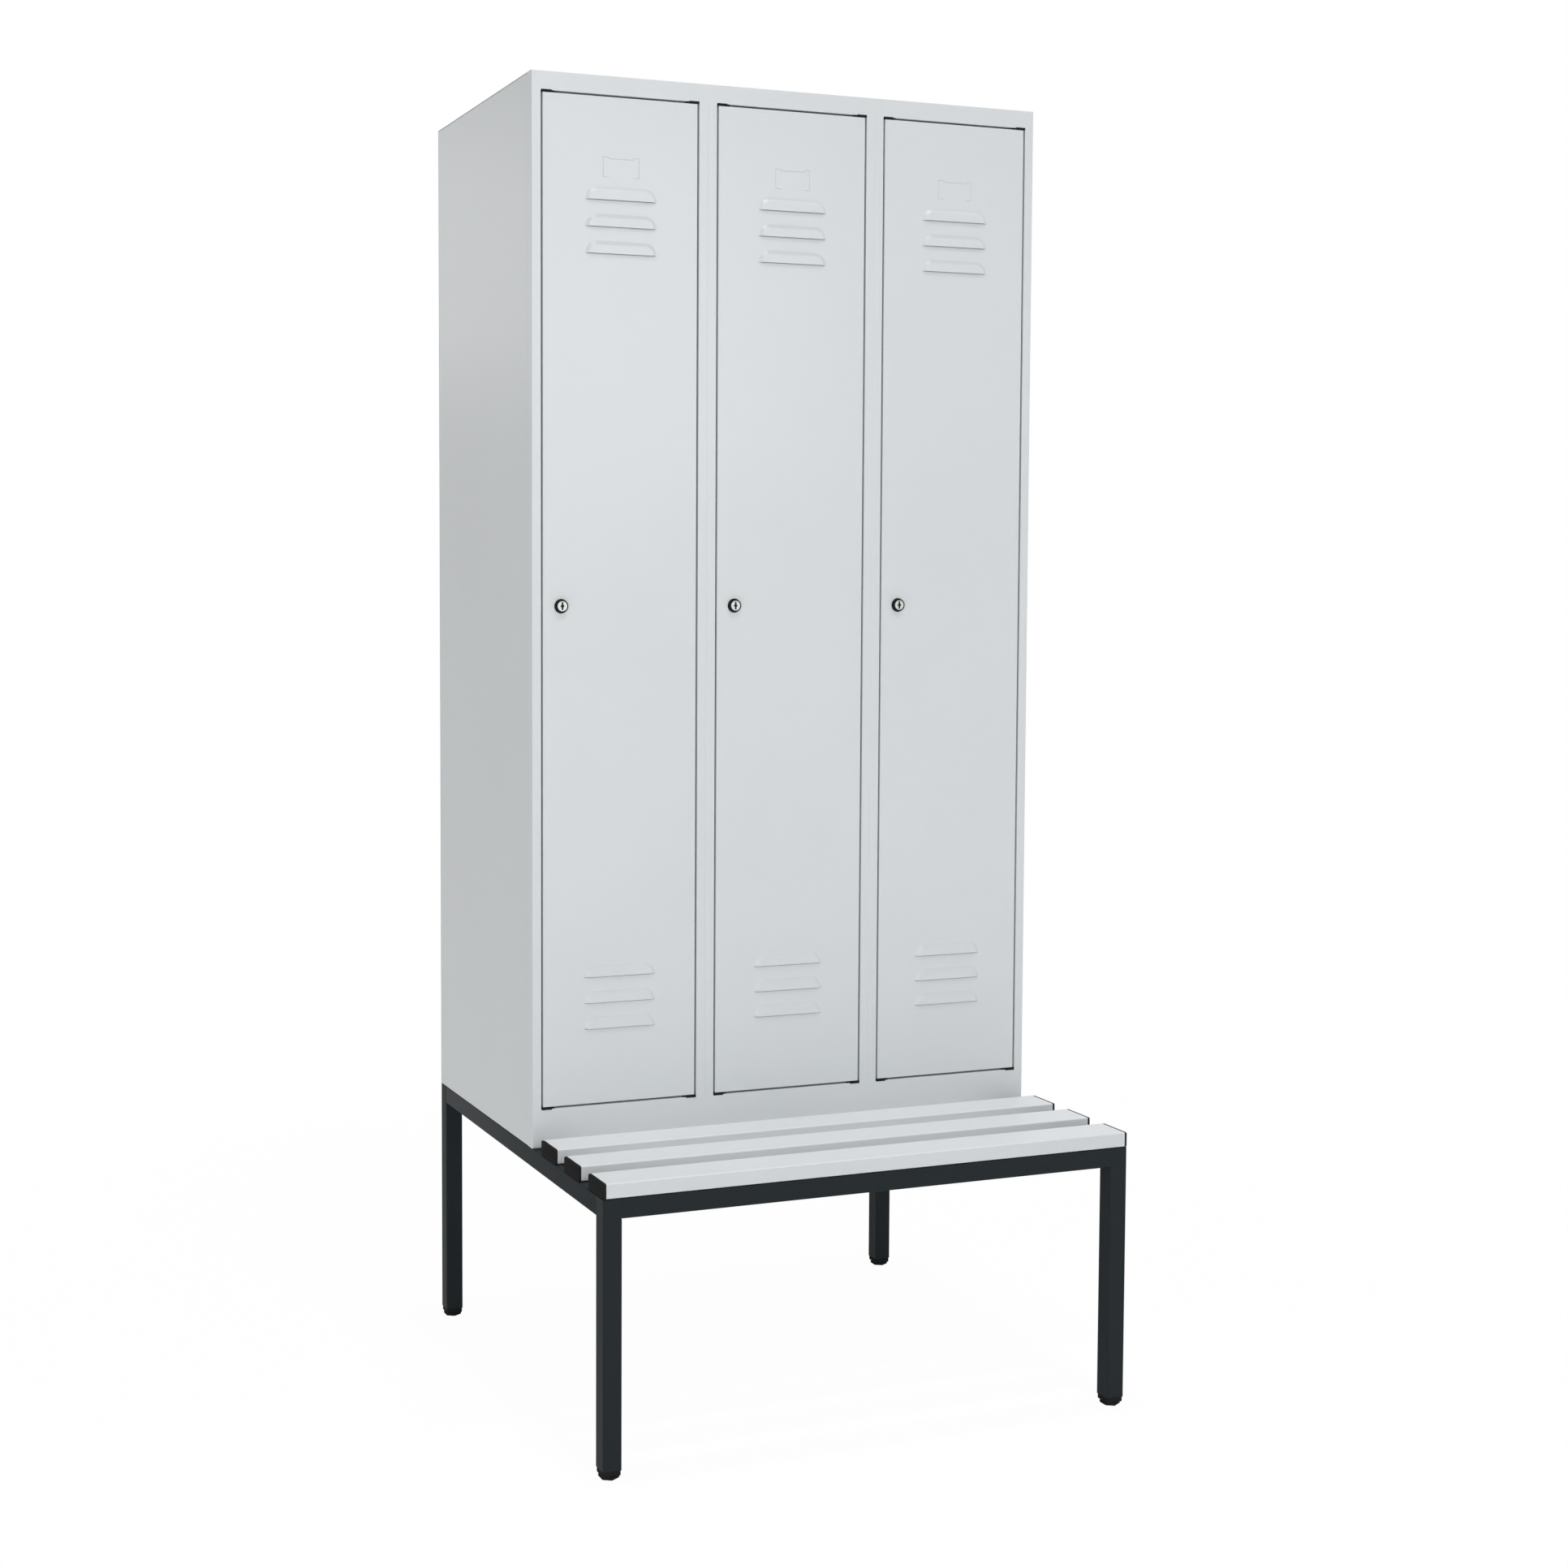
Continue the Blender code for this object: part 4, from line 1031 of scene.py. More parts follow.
@dataclass
class LockSet:
    """A door's lock: black collar, plated cylinder with its keyway, and the cam behind it."""

    index: int
    collar_base: float = 0.0115
    collar_front: float = 0.0098
    collar_rise: float = 0.0068
    collar_edge: float = 0.0005
    collar_foot: float = 0.0006
    collar_end_gap: float = 0.0014
    barrel: float = 0.0095
    bore: float = 0.0085
    cylinder: float = 0.0082
    recess: float = 0.0004
    length: float = 0.021
    neck: float = 0.004
    neck_length: float = 0.0042
    keyway_half_width: float = 0.0014
    keyway_half_height: float = 0.0062
    keyway_diamond: float = 0.0036
    keyway_depth: float = 0.008
    keyway_chamfer: float = 0.0002
    keyway_flare: float = 1.05
    # Inset behind the face and overlap into the walls of the black keyway fill, which is painted shade
    shade_fill_inset: float = 0.0005
    shade_fill_overlap: float = 0.00005
    cam_edge: float = 0.0003

    @property
    def door(self) -> str:
        """Name of the door that carries the lock."""
        return "door_" + COMPARTMENTS[self.index]

    @property
    def body(self) -> str:
        """Name of the turning body."""
        return "lock_" + COMPARTMENTS[self.index]

    def centre(self) -> tuple[float, float, float]:
        """The point where the lock's axis meets the door's face."""
        return (PLACES.lock_x(self.index), PLACES.front_y, PLACES.lock_z())

    def collar(self) -> bpy.types.Object:
        """Make the collar: a cone with a rounded front edge, on a barrel through the door."""
        front = -self.collar_rise
        edge = self.collar_edge
        back = self.length - self.collar_end_gap
        rounding = arc((self.collar_front - edge, front + edge), edge, 0, -90, steps=4)
        inner = arc((self.bore + edge / 2, front + edge / 2), edge / 2, -90, -180, steps=3)
        profile = np.concatenate(
            [
                [[self.barrel, back], [self.barrel, -EDGE_BREAK]],
                [[self.collar_base - EDGE_BREAK, -EDGE_BREAK], [self.collar_base, -self.collar_foot]],
                rounding,
                inner,
                [[self.bore, back]],
            ]
        )
        shell = lathe(profile, Axis.Y, self.centre(), steps=64, ring=True)
        return shell.stand_in("lock_collar_" + COMPARTMENTS[self.index], "turned", BLACK_PLASTIC, self.door)

    def keyway(self, angles: Array) -> Array:
        """Radius of the keyway's outline: the larger of an upright slot's and a diamond's."""
        cosine = np.maximum(np.abs(np.cos(angles)), 1e-9)
        sine = np.maximum(np.abs(np.sin(angles)), 1e-9)
        slot = np.minimum(self.keyway_half_width / cosine, self.keyway_half_height / sine)
        diamond = self.keyway_diamond / (cosine + sine)
        return np.maximum(slot, diamond)

    def plug(self) -> bpy.types.Object:
        """Make the turning cylinder: rings from its back over its face and down the keyway's walls."""
        corner = math.atan2(self.keyway_half_height, self.keyway_half_width)
        meeting = math.atan2(self.keyway_diamond - self.keyway_half_width, self.keyway_half_width)
        special = np.array([corner, meeting])
        special = np.concatenate([special, -special, math.pi - special, special - math.pi])
        even = np.linspace(-math.pi, math.pi, 72, endpoint=False)
        angles = np.unique(np.round(np.concatenate([even, special]), 6))
        slot = self.keyway(angles)
        face = -self.collar_rise + self.recess
        back = self.length + EDGE_BREAK
        floor = face + self.keyway_depth
        rim = self.cylinder - EDGE_BREAK
        round_radii = np.array([0.0, self.neck, self.neck, self.cylinder, self.cylinder, rim])
        round_places = [back + self.neck_length] * 2 + [back, back, face + EDGE_BREAK, face]
        slot_gains = np.array([self.keyway_flare, 1.0, 1.0, 0.0])
        slot_places = np.array([face, face + self.keyway_chamfer, floor, floor])
        round_part = np.broadcast_to(round_radii[:, None], (round_radii.size, angles.size))
        radii = np.concatenate([round_part, slot_gains[:, None] * slot[None]])
        along = np.concatenate([round_places, slot_places])[:, None]
        along = np.broadcast_to(along, radii.shape)
        points = np.stack([radii * np.cos(angles), radii * np.sin(angles), along], axis=2)
        points = points[..., Axis.Y.value] + np.asarray(self.centre())
        shell = Shell().grid(points, wrap_columns=True)
        return shell.stand_in("lock_cylinder_" + COMPARTMENTS[self.index], "turned", LOCK_METAL, self.body)

    def keyway_shade_fill(self) -> bpy.types.Object:
        """Make a black fill in the keyway behind the cylinder's face: painted shade that stands for the
        keyway's dark depth.
        """
        angles = np.radians(np.arange(0, 360, 5))
        radius = (self.keyway(angles) + self.shade_fill_overlap)[:, None]
        outline = radius * np.stack([np.cos(angles), np.sin(angles)], axis=1)
        face = -self.collar_rise + self.recess
        stations = [face + self.shade_fill_inset, face + self.keyway_depth]
        # A black solid fills the keyway as painted shade for its dark depth
        shell = prism(outline, stations, Axis.Y, self.centre())
        return shell.piece("lock_keyway_painted_shade_" + COMPARTMENTS[self.index], BLACK_PLASTIC, self.body)

    def build(self, frame: dict) -> None:
        """Make the lock's pieces."""
        self.collar()
        self.plug()
        # The keyway's black fill is painted shade
        self.keyway_shade_fill()
        refined(frame, "lock_cam_" + COMPARTMENTS[self.index], ZINC_STEEL, self.body, self.cam_edge)
        LOG.info("%s: collar, cylinder, cam", self.body)


@dataclass
class FrontFrame:
    """The folded front of the cabinet with its three door openings."""

    wrap: float = 0.021
    return_depth: float = 0.021
    opening_bend: float = 0.0009
    seam_width: float = 0.0011
    seam_depth: float = 0.0004
    seam_end: float = 0.0008

    def columns(self) -> tuple[Array, Array]:
        """Places of the face's grid lines across the cabinet.

        Returns:
            The places, and which of them are the bottom of a seam.
        """
        bend = PLACES.bend
        radius = self.opening_bend
        outer = PLACES.half_width - bend
        openings = range(len(COMPARTMENTS))
        lefts = np.array([PLACES.opening_left(index) for index in openings]) - radius
        rights = np.array([PLACES.opening_right(index) for index in openings]) + radius
        middles = (rights[:-1] + lefts[1:]) / 2
        half = self.seam_width / 2
        places = np.concatenate(
            [
                [-outer, -outer + HOLD, outer - HOLD, outer],
                lefts,
                lefts - HOLD,
                rights,
                rights + HOLD,
                middles,
                middles - half,
                middles + half,
                middles - half - HOLD,
                middles + half + HOLD,
            ]
        )
        places = np.unique(np.round(places, 7))
        seam = np.isclose(places[:, None], middles[None, :], atol=2e-7).any(axis=1)
        return places, seam

    def rows(self) -> tuple[Array, Array]:
        """Heights of the face's grid lines.

        Returns:
            The heights, and which of them lie within the seams.
        """
        bend = PLACES.bend
        low = PLACES.opening_bottom - self.opening_bend
        high = PLACES.opening_top + self.opening_bend
        heights = np.array(
            [
                PLACES.cabinet_bottom + bend,
                PLACES.cabinet_bottom + bend + HOLD,
                low - self.seam_end - HOLD,
                low - HOLD,
                low,
                high,
                high + HOLD,
                high + self.seam_end + HOLD,
                PLACES.cabinet_top - bend - HOLD,
                PLACES.cabinet_top - bend,
            ]
        )
        within = (heights > low - 2 * HOLD) & (heights < high + 2 * HOLD)
        return heights, within

    def build(self) -> None:
        """Make the frame: its face less the openings, the wrap round it and a return in each opening."""
        columns, seam = self.columns()
        heights, within = self.rows()
        depth = self.seam_depth * (seam[None, :] & within[:, None])
        points = sheet_points(columns, heights, PLACES.front_y + depth)
        centres = (columns[:-1] + columns[1:]) / 2
        levels = (heights[:-1] + heights[1:]) / 2
        radius = self.opening_bend
        tall = (levels > PLACES.opening_bottom - radius) & (levels < PLACES.opening_top + radius)
        wide = np.zeros(centres.size, bool)
        for index in range(len(COMPARTMENTS)):
            wide |= (centres > PLACES.opening_left(index)) & (centres < PLACES.opening_right(index))
        shell = Shell().grid(points, keep=~(tall[:, None] & wide[None, :]))

        edge, flip = skirt(columns, heights, edge_fold(PLACES.bend, self.wrap), PLACES.front_y)
        shell.grid(edge, wrap_columns=True, flip=flip)
        fold = edge_fold(radius, self.return_depth)
        for index in range(len(COMPARTMENTS)):
            across = np.array([PLACES.opening_left(index) - radius, PLACES.opening_right(index) + radius])
            up = np.array([PLACES.opening_bottom - radius, PLACES.opening_top + radius])
            edge, flip = skirt(across, up, fold, PLACES.front_y, inwards=True)
            shell.grid(edge, wrap_columns=True, flip=flip)
        shell.piece("front_frame_folded", LIGHT_GREY_PAINT, ROOT_BODY, ("front_frame",), PLACES.sheet)
        LOG.info("front frame: face, wrap and three returns")


@dataclass
class CornerFittings:
    """Black hinge bushes and stop buffers in the gaps at the corners of the doors, and lock strikes."""

    length: float = 0.0175
    taper: float = 0.005
    clearance: float = 0.0003
    setback: float = 0.0003
    reach_back: float = 0.0092
    lip_drop: float = 0.0014
    lip_rise: float = 0.0010
    lip_proud: float = 0.0003
    lip_edge: float = 0.0006
    lip_overlap: float = 0.0005
    corner_drop: float = 0.0040
    corner_width: float = 0.0020
    corner_edge: float = 0.0004
    inner_cut: float = 0.65  # share of the strip's height that its taper takes at the inner end
    outer_cut: float = 0.12  # and at the corner end
    outer_taper: float = 0.0005
    pin_radius: float = 0.0022
    pin_into_frame: float = 0.0075
    pin_into_door: float = 0.0135
    strike_height: float = 0.017
    strike_width: float = 0.0011
    strike_depth: float = 0.016
    strike_edge: float = 0.0004
    strike_setback: float = 0.0030

    def strip(self, inner_x: float, outer_x: float, low: float, high: float, up: bool) -> Shell:
        """A flat strip in a door gap, thinner towards its inner end.

        Its section is a rectangle. Over the taper the lower face of an upper fitting rises, and the
        upper face of a lower fitting falls.

        Args:
            inner_x: Where the thin end is.
            outer_x: Where the corner end is.
            low: Lower face.
            high: Upper face.
            up: Whether it belongs to an upper fitting.

        Returns:
            The strip's shell.
        """
        sign = 1.0 if outer_x > inner_x else -1.0
        shoulder = inner_x + sign * self.taper
        stations = np.array([inner_x, shoulder, outer_x - sign * self.outer_taper, outer_x])
        taken = np.array([self.inner_cut, 0.0, 0.0, self.outer_cut]) * (high - low)
        lows = low + taken * float(up)
        highs = high - taken * float(not up)
        near = PLACES.front_y + self.setback
        far = PLACES.front_y + self.setback + self.reach_back
        outlines = np.stack(
            [
                np.stack([np.full(4, near), lows], axis=1),
                np.stack([np.full(4, far), lows], axis=1),
                np.stack([np.full(4, far), highs], axis=1),
                np.stack([np.full(4, near), highs], axis=1),
            ],
            axis=1,
        )
        return prism(outlines, stations, Axis.X, (0, 0, 0))

    def lip(self, inner_x: float, outer_x: float, up: bool) -> Shell:
        """The front lip of a fitting, which overlaps the edge of the opening.

        Args:
            inner_x: Where its inner end is.
            outer_x: Where its corner end is.
            up: Whether it belongs to an upper fitting.

        Returns:
            The lip's shell.
        """
        if up:
            low = PLACES.opening_top - PLACES.door_gap + self.clearance
            high = PLACES.opening_top + self.lip_rise
        else:
            low = PLACES.opening_bottom - self.lip_drop
            high = PLACES.opening_bottom + PLACES.door_gap - self.clearance
        half = (high - low) / 2
        outline = rounded_rectangle(abs(outer_x - inner_x) / 2, half, self.lip_edge, steps=3)
        stations = [-self.lip_proud, self.setback + self.lip_overlap]
        centre = ((inner_x + outer_x) / 2, PLACES.front_y, (low + high) / 2)
        return prism(outline, stations, Axis.Y, centre)

    def corner(self, outer_x: float, up: bool) -> Shell:
        """The short leg of a stop buffer in the upright gap beside the door's free edge."""
        low, high = PLACES.opening_bottom + self.clearance, PLACES.opening_bottom + self.corner_drop
        if up:
            low, high = PLACES.opening_top - self.corner_drop, PLACES.opening_top - self.clearance
        outline = rounded_rectangle(self.corner_width / 2, (high - low) / 2, self.corner_edge, steps=2)
        stations = [self.setback, self.setback + self.reach_back]
        centre = (outer_x + self.corner_width / 2, PLACES.front_y, (low + high) / 2)
        return prism(outline, stations, Axis.Y, centre)

    def pin(self, index: int, z: float, up: bool) -> Shell:
        """A hinge pin that goes from the gap into the frame and into the door."""
        sign = 1.0 if up else -1.0
        frame_end = sign * self.pin_into_frame
        door_end = -sign * self.pin_into_door
        radius = self.pin_radius
        profile = np.array([[0.0, frame_end], [radius, frame_end], [radius, door_end], [0.0, door_end]])
        centre = (PLACES.hinge_x(index), PLACES.front_y + PLACES.pivot_inset, z)
        return lathe(profile, Axis.Z, centre, steps=24)

    def build(self) -> None:
        """Make the fittings of all the openings."""
        gap = PLACES.door_gap
        clear = self.clearance
        levels = {
            "top": (PLACES.opening_top - gap + clear, PLACES.opening_top - clear),
            "bottom": (PLACES.opening_bottom + clear, PLACES.opening_bottom + gap - clear),
        }
        for index, name in enumerate(COMPARTMENTS):
            left = PLACES.opening_left(index) + clear
            right = PLACES.opening_right(index) - clear
            for level, (low, high) in levels.items():
                up = level == "top"
                for side, outer in (("left", left), ("right", right)):
                    sign = 1.0 if side == "left" else -1.0
                    inner = outer + sign * (self.length + self.taper)
                    shell = self.strip(inner, outer, low, high, up)
                    shell.join(self.lip(outer + sign * self.length, outer, up))
                    if side == "left":
                        shell.join(self.corner(outer, up))
                        shell.piece(f"stop_buffer_{level}_{name}", BLACK_PLASTIC)
                    else:
                        shell.join(self.pin(index, (low + high) / 2, up))
                        shell.stand_in(f"hinge_pin_{level}_{name}", "moulded", BLACK_PLASTIC)
            self.strike(index)
        LOG.info("corner fittings: bushes with pins, stop buffers and lock strikes")

    def strike(self, index: int) -> bpy.types.Object:
        """Make the lock strike on the frame's return, beside the lock."""
        outline = rounded_rectangle(self.strike_width / 2, self.strike_height / 2, self.strike_edge, steps=3)
        centre = (
            PLACES.opening_left(index) + self.strike_width / 2,
            PLACES.front_y + self.strike_setback,
            PLACES.lock_z(),
        )
        shell = prism(outline, [0.0, self.strike_depth], Axis.Y, centre)
        return shell.piece("lock_strike_" + COMPARTMENTS[index], LIGHT_GREY_PAINT)


@dataclass
class Bench:
    """Three slats across the side rails, with a black cap on either end."""

    width: float = 0.065
    height: float = 0.024
    pitch: float = 0.105
    front_y: float = -0.4085
    bottom: float = 0.4223
    end_x: float = 0.4495
    cap: float = 0.004
    clearance: float = 0.0003
    slat_edge: float = 0.002
    cap_edge: float = 0.003
    cap_bend: float = 0.0011
    cap_chamfer: tuple[float, float] = (0.0002, 0.0003)
    cap_corner_share: float = 0.9  # how much of an inset comes off the corner's radius
    foot_height: float = 0.001
    foot_overlap: float = 0.0002
    foot_width: float = 0.006
    foot_inset: float = 0.005

    def row_y(self, row: int) -> float:
        """Middle of a slat across the bench."""
        return self.front_y + self.width / 2 + row * self.pitch

    def slat(self, row: int) -> bpy.types.Object:
        """Make one slat."""
        half_height = (self.height - self.foot_height) / 2
        middle = self.bottom + self.foot_height + half_height
        reach = self.end_x - self.cap - self.clearance
        outline = rounded_rectangle(self.width / 2, half_height, self.slat_edge, steps=7)
        shell = prism(outline, [-reach, reach], Axis.X, (0, self.row_y(row), middle))
        square = np.array([[-0.5, -0.5], [0.5, -0.5], [0.5, 0.5], [-0.5, 0.5]])
        tall = self.foot_height + self.foot_overlap
        offset = self.width / 2 - self.foot_inset - self.foot_width / 2
        for sign in (-1, 1):
            centre = (0, self.row_y(row) + sign * offset, self.bottom + tall / 2)
            shell.join(prism(square * [self.foot_width, tall], [-reach, reach], Axis.X, centre))
        return shell.stand_in("slat_" + ROWS[row], "moulded", SLAT_PLASTIC)

    def end_cap(self, row: int, side: str) -> bpy.types.Object:
        """Make one cap: a plate with a rounded front edge."""
        sign = -1.0 if side == "left" else 1.0
        bend = arc((0, 0), self.cap_bend, 0, 90, BEND_STEPS)
        insets = np.concatenate([[self.cap_chamfer[0], 0.0], self.cap_bend - bend[:, 0]])
        stations = np.concatenate([[0.0, self.cap_chamfer[1]], self.cap - self.cap_bend + bend[:, 1]])
        radii = self.cap_edge - insets * self.cap_corner_share
        outlines = np.stack(
            [
                rounded_rectangle(self.width / 2 - inset, self.height / 2 - inset, radius, steps=6)
                for inset, radius in zip(insets, radii)
            ]
        )
        inner_x = sign * (self.end_x - self.cap)
        centre = (inner_x, self.row_y(row), self.bottom + self.height / 2)
        shell = prism(outlines, sign * stations, Axis.X, centre)
        return shell.stand_in(f"slat_cap_{ROWS[row]}_{side}", "moulded", BLACK_PLASTIC)

    def build(self) -> None:
        """Make the slats and their caps."""
        for row in range(len(ROWS)):
            self.slat(row)
            for side in SIDES:
                self.end_cap(row, side)
        LOG.info("bench: %d slats with caps", len(ROWS))


@dataclass
class TubeBase:
    """The welded frame of square tube, its foot inserts, its glides and its bolts."""

    tube: float = 0.030
    wall: float = 0.002
    edge: float = 0.0014
    bore_edge: float = 0.0005
    height: float = 0.422
    leg_bottom: float = 0.0137
    reach_into_leg: float = 0.0029
    weld_inset: float = 0.0003
    weld_run: tuple[float, float] = (0.0004, 0.0016)
    insert_flange: float = 0.0284
    insert_edge: float = 0.002
    insert_bottom: float = 0.0054
    insert_height: float = 0.008
    insert_foot: tuple[float, float] = (0.0012, 0.0004)
    insert_foot_rise: tuple[float, float] = (0.0005, 0.0012)
    insert_rim: float = 0.0006
    plug_clearance: float = 0.0003
    plug_edge: float = 0.0008
    plug_overlap: float = 0.0005
    plug_top: float = 0.034
    glide_flats: float = 0.0276
    glide_height: float = 0.0051
    glide_chamfer: float = 0.0014
    glide_rim: tuple[float, float] = (0.0005, 0.0004)
    stem_overlap: float = 0.0003
    thread_radii: tuple[float, float] = (0.0040, 0.0034)
    thread_step: float = 0.001
    thread_rings: int = 29
    bolt_inset: float = 0.05
    bolt_flats: float = 0.010
    bolt_height: float = 0.0045
    bolt_chamfer: float = 0.0006
    bolt_foot_share: float = 0.9
    washer_radius: float = 0.0085
    washer_height: float = 0.0014
    washer_overlap: float = 0.0001

    @property
    def leg_x(self) -> float:
        """Middle of a leg across the width."""
        return PLACES.half_width - self.tube / 2

    @property
    def leg_y(self) -> float:
        """Middle of a leg across the depth."""
        return -PLACES.base_front_y - self.tube / 2

    def section(self, inset: float, edge: float) -> Array:
        """Outline of the tube, or of its bore, made smaller by an inset."""
        half = self.tube / 2 - inset
        return rounded_rectangle(half, half, edge)

    def hollow(self, outlines: Array, stations: Array, axis: Axis, centre: Sequence[float]) -> Shell:
        """A tube with open ends: the outer outline carried along the axis, and the bore's carried back.

        Args:
            outlines: The outer outline at each station.
            stations: Places along the axis.
            axis: The axis.
            centre: The point that the outline and the stations are counted from.

        Returns:
            The tube's shell.
        """
        bore = self.section(self.wall, self.bore_edge)
        rings = np.concatenate([outlines, np.broadcast_to(bore, (2, *bore.shape))])
        places = np.concatenate([stations, [stations[-1], stations[0]]])
        along = np.broadcast_to(places[:, None, None], (*rings.shape[:2], 1))
        points = np.concatenate([rings, along], axis=2)[..., axis.value] + np.asarray(centre)
        return Shell().grid(points, wrap_rows=True, wrap_columns=True)

    def leg(self, name: str, x: float, y: float) -> None:
        """Make one leg with its insert."""
        outer = self.section(0.0, self.edge)
        stations = np.array([self.leg_bottom, self.height])
        shell = self.hollow(np.stack([outer, outer]), stations, Axis.Z, (x, y, 0))
        shell.stand_in("leg_" + name, "tube", ANTHRACITE_PAINT)

        top = self.insert_height
        insets = (*self.insert_foot, 0.0, 0.0, self.insert_rim)
        places = np.array([0.0, *self.insert_foot_rise, top - self.insert_rim, top])
        halves = [self.insert_flange / 2 - inset for inset in insets]
        outlines = np.stack([rounded_rectangle(half, half, self.insert_edge) for half in halves])
        shell = prism(outlines, self.insert_bottom + places, Axis.Z, (x, y, 0))
        half = self.tube / 2 - self.wall - self.plug_clearance
        outline = rounded_rectangle(half, half, self.plug_edge, steps=2)
        stations = self.insert_bottom + np.array([top - self.plug_overlap, self.plug_top])
        shell.join(prism(outline, stations, Axis.Z, (x, y, 0)))
        shell.stand_in("leg_insert_" + name, "moulded", BLACK_PLASTIC)

    def glide(self, name: str, x: float, y: float) -> None:
        """Make one levelling glide: a hexagon with a chamfered foot on a threaded stem."""
        top = self.glide_height
        inset, drop = self.glide_rim
        radii = self.glide_flats / 2 - np.array([self.glide_chamfer, 0.0, 0.0, inset])
        places = np.array([0.0, self.glide_chamfer, top - drop, top])
        shell = prism(radii[:, None, None] * hexagon(30)[None], places, Axis.Z, (x, y, 0))
        rings = np.arange(self.thread_rings)
        radius = np.where(rings % 2 == 0, *self.thread_radii)
        stem = np.stack([radius, top - self.stem_overlap + rings * self.thread_step], axis=1)
        stem = np.concatenate([[[0.0, stem[0, 1]]], stem, [[0.0, stem[-1, 1]]]])
        shell.join(lathe(stem, Axis.Z, (x, y, 0), steps=24))
        shell.stand_in("levelling_glide_" + name, "moulded", BLACK_PLASTIC, "glide_" + name)

    def rail(self, node: str, axis: Axis, x: float, y: float) -> None:
        """Make one rail, whose ends run into the legs' rounded edges where they are welded."""
        legs = self.leg_x if axis is Axis.X else self.leg_y
        joint = legs - self.tube / 2
        run = np.array([-self.reach_into_leg, *self.weld_run])
        stations = -joint + run
        stations = np.concatenate([stations, -stations[::-1]])
        insets = (self.weld_inset, self.weld_inset, 0.0, 0.0, self.weld_inset, self.weld_inset)
        outlines = np.stack([self.section(inset, self.edge) for inset in insets])
        centre = (x, y, self.height - self.tube / 2)
        shell = self.hollow(outlines, stations, axis, centre)
        shell.stand_in(node, "tube", ANTHRACITE_PAINT)

    def bolts(self) -> None:
        """Make the bolts under the side rails: a washer and a hexagonal head at each place."""
        bench = Bench()
        ys = [bench.row_y(row) for row in range(len(ROWS))]
        ys += [PLACES.front_y + self.bolt_inset, PLACES.back_y - self.bolt_inset]
        top = -self.washer_height
        foot = top - self.bolt_height
        gains = np.array([self.bolt_foot_share, 1.0, 1.0])[:, None, None]
        head = gains * hexagon(0)[None] * self.bolt_flats / 2
        wide = self.washer_radius
        washer = np.array([[0.0, self.washer_overlap], [wide, self.washer_overlap], [wide, top], [0.0, top]])
        shell = Shell()
        for sign in (-1, 1):
            for y in ys:
                centre = (sign * self.leg_x, y, self.height - self.tube)
                shell.join(prism(head, [foot, foot + self.bolt_chamfer, top], Axis.Z, centre))
                shell.join(lathe(washer, Axis.Z, centre, steps=20))
        shell.piece("base_bolts", ZINC_STEEL)

    def build(self) -> None:
        """Make the base."""
        for depth, y in (("front", -self.leg_y), ("rear", self.leg_y)):
            for side, x in (("left", -self.leg_x), ("right", self.leg_x)):
                self.leg(f"{depth}_{side}", x, y)
                self.glide(f"{depth}_{side}", x, y)
        self.rail("front_rail", Axis.X, 0.0, -self.leg_y)
        self.rail("rear_rail", Axis.X, 0.0, self.leg_y)
        self.rail("side_rail_left", Axis.Y, -self.leg_x, 0.0)
        self.rail("side_rail_right", Axis.Y, self.leg_x, 0.0)
        self.bolts()
        LOG.info("base: four legs with inserts and glides, four rails, bolts")


@dataclass
class Carcass:
    """Side, top, back, floor and partition panels behind the front frame, and the back's rivets."""

    rivet_radius: float = 0.0032
    rivet_height: float = 0.0008
    rivet_inset: float = 0.0075
    rivet_steps: int = 12
    upright_rivets: int = 8
    upright_margin: float = 0.06
    partition_offset: float = 0.006
    top_rivets: int = 7
    top_reach: float = 0.36
    top_drop: float = 0.002

    def rivets(self) -> None:
        """Make the rivet heads along the back panel: one low dome repeated at every place."""
        lowest = PLACES.cabinet_bottom + self.upright_margin
        highest = PLACES.cabinet_top - self.upright_margin
        heights = np.linspace(lowest, highest, self.upright_rivets)
        inner = PLACES.middle_stile / 2 + self.partition_offset
        edge = PLACES.half_width - self.rivet_inset
        uprights = [-edge, PLACES.opening_right(0) + inner, PLACES.opening_right(1) + inner, edge]
        across, up = np.meshgrid(uprights, heights)
        level_x = np.linspace(-self.top_reach, self.top_reach, self.top_rivets)
        top = np.full(level_x.size, PLACES.cabinet_top - self.rivet_inset - self.top_drop)
        spots_x = np.concatenate([across.ravel(), level_x])
        spots_z = np.concatenate([up.ravel(), top])
        slope = np.linspace(0, 1, 4) * math.pi / 2
        ring = np.concatenate([[0.0], self.rivet_radius * np.cos(slope)])
        base = np.concatenate([[0.0], self.rivet_height * np.sin(slope)])
        angles = np.linspace(0, 2 * math.pi, self.rivet_steps, endpoint=False)
        shell = Shell()
        for x, z in zip(spots_x, spots_z):
            dome_x = x + ring[:, None] * np.cos(angles)
            dome_z = z + ring[:, None] * np.sin(angles)
            dome_y = np.broadcast_to(PLACES.back_y + base[:, None], dome_x.shape)
            shell.grid(np.stack([dome_x, dome_y, dome_z], axis=2), wrap_columns=True)
        shell.piece("back_rivets", LIGHT_GREY_PAINT, sharp_deg=60)

    def build(self, frame: dict) -> None:
        """Show the panels and make the rivets."""
        nodes = ["side_panel_left", "side_panel_right", "top_panel", "back_panel", "floor_panel"]
        nodes += ["partition_left", "partition_right"]
        for node in nodes:
            refined(frame, node, LIGHT_GREY_PAINT)
        self.rivets()
        LOG.info("carcass: %d panels, rivets", len(nodes))


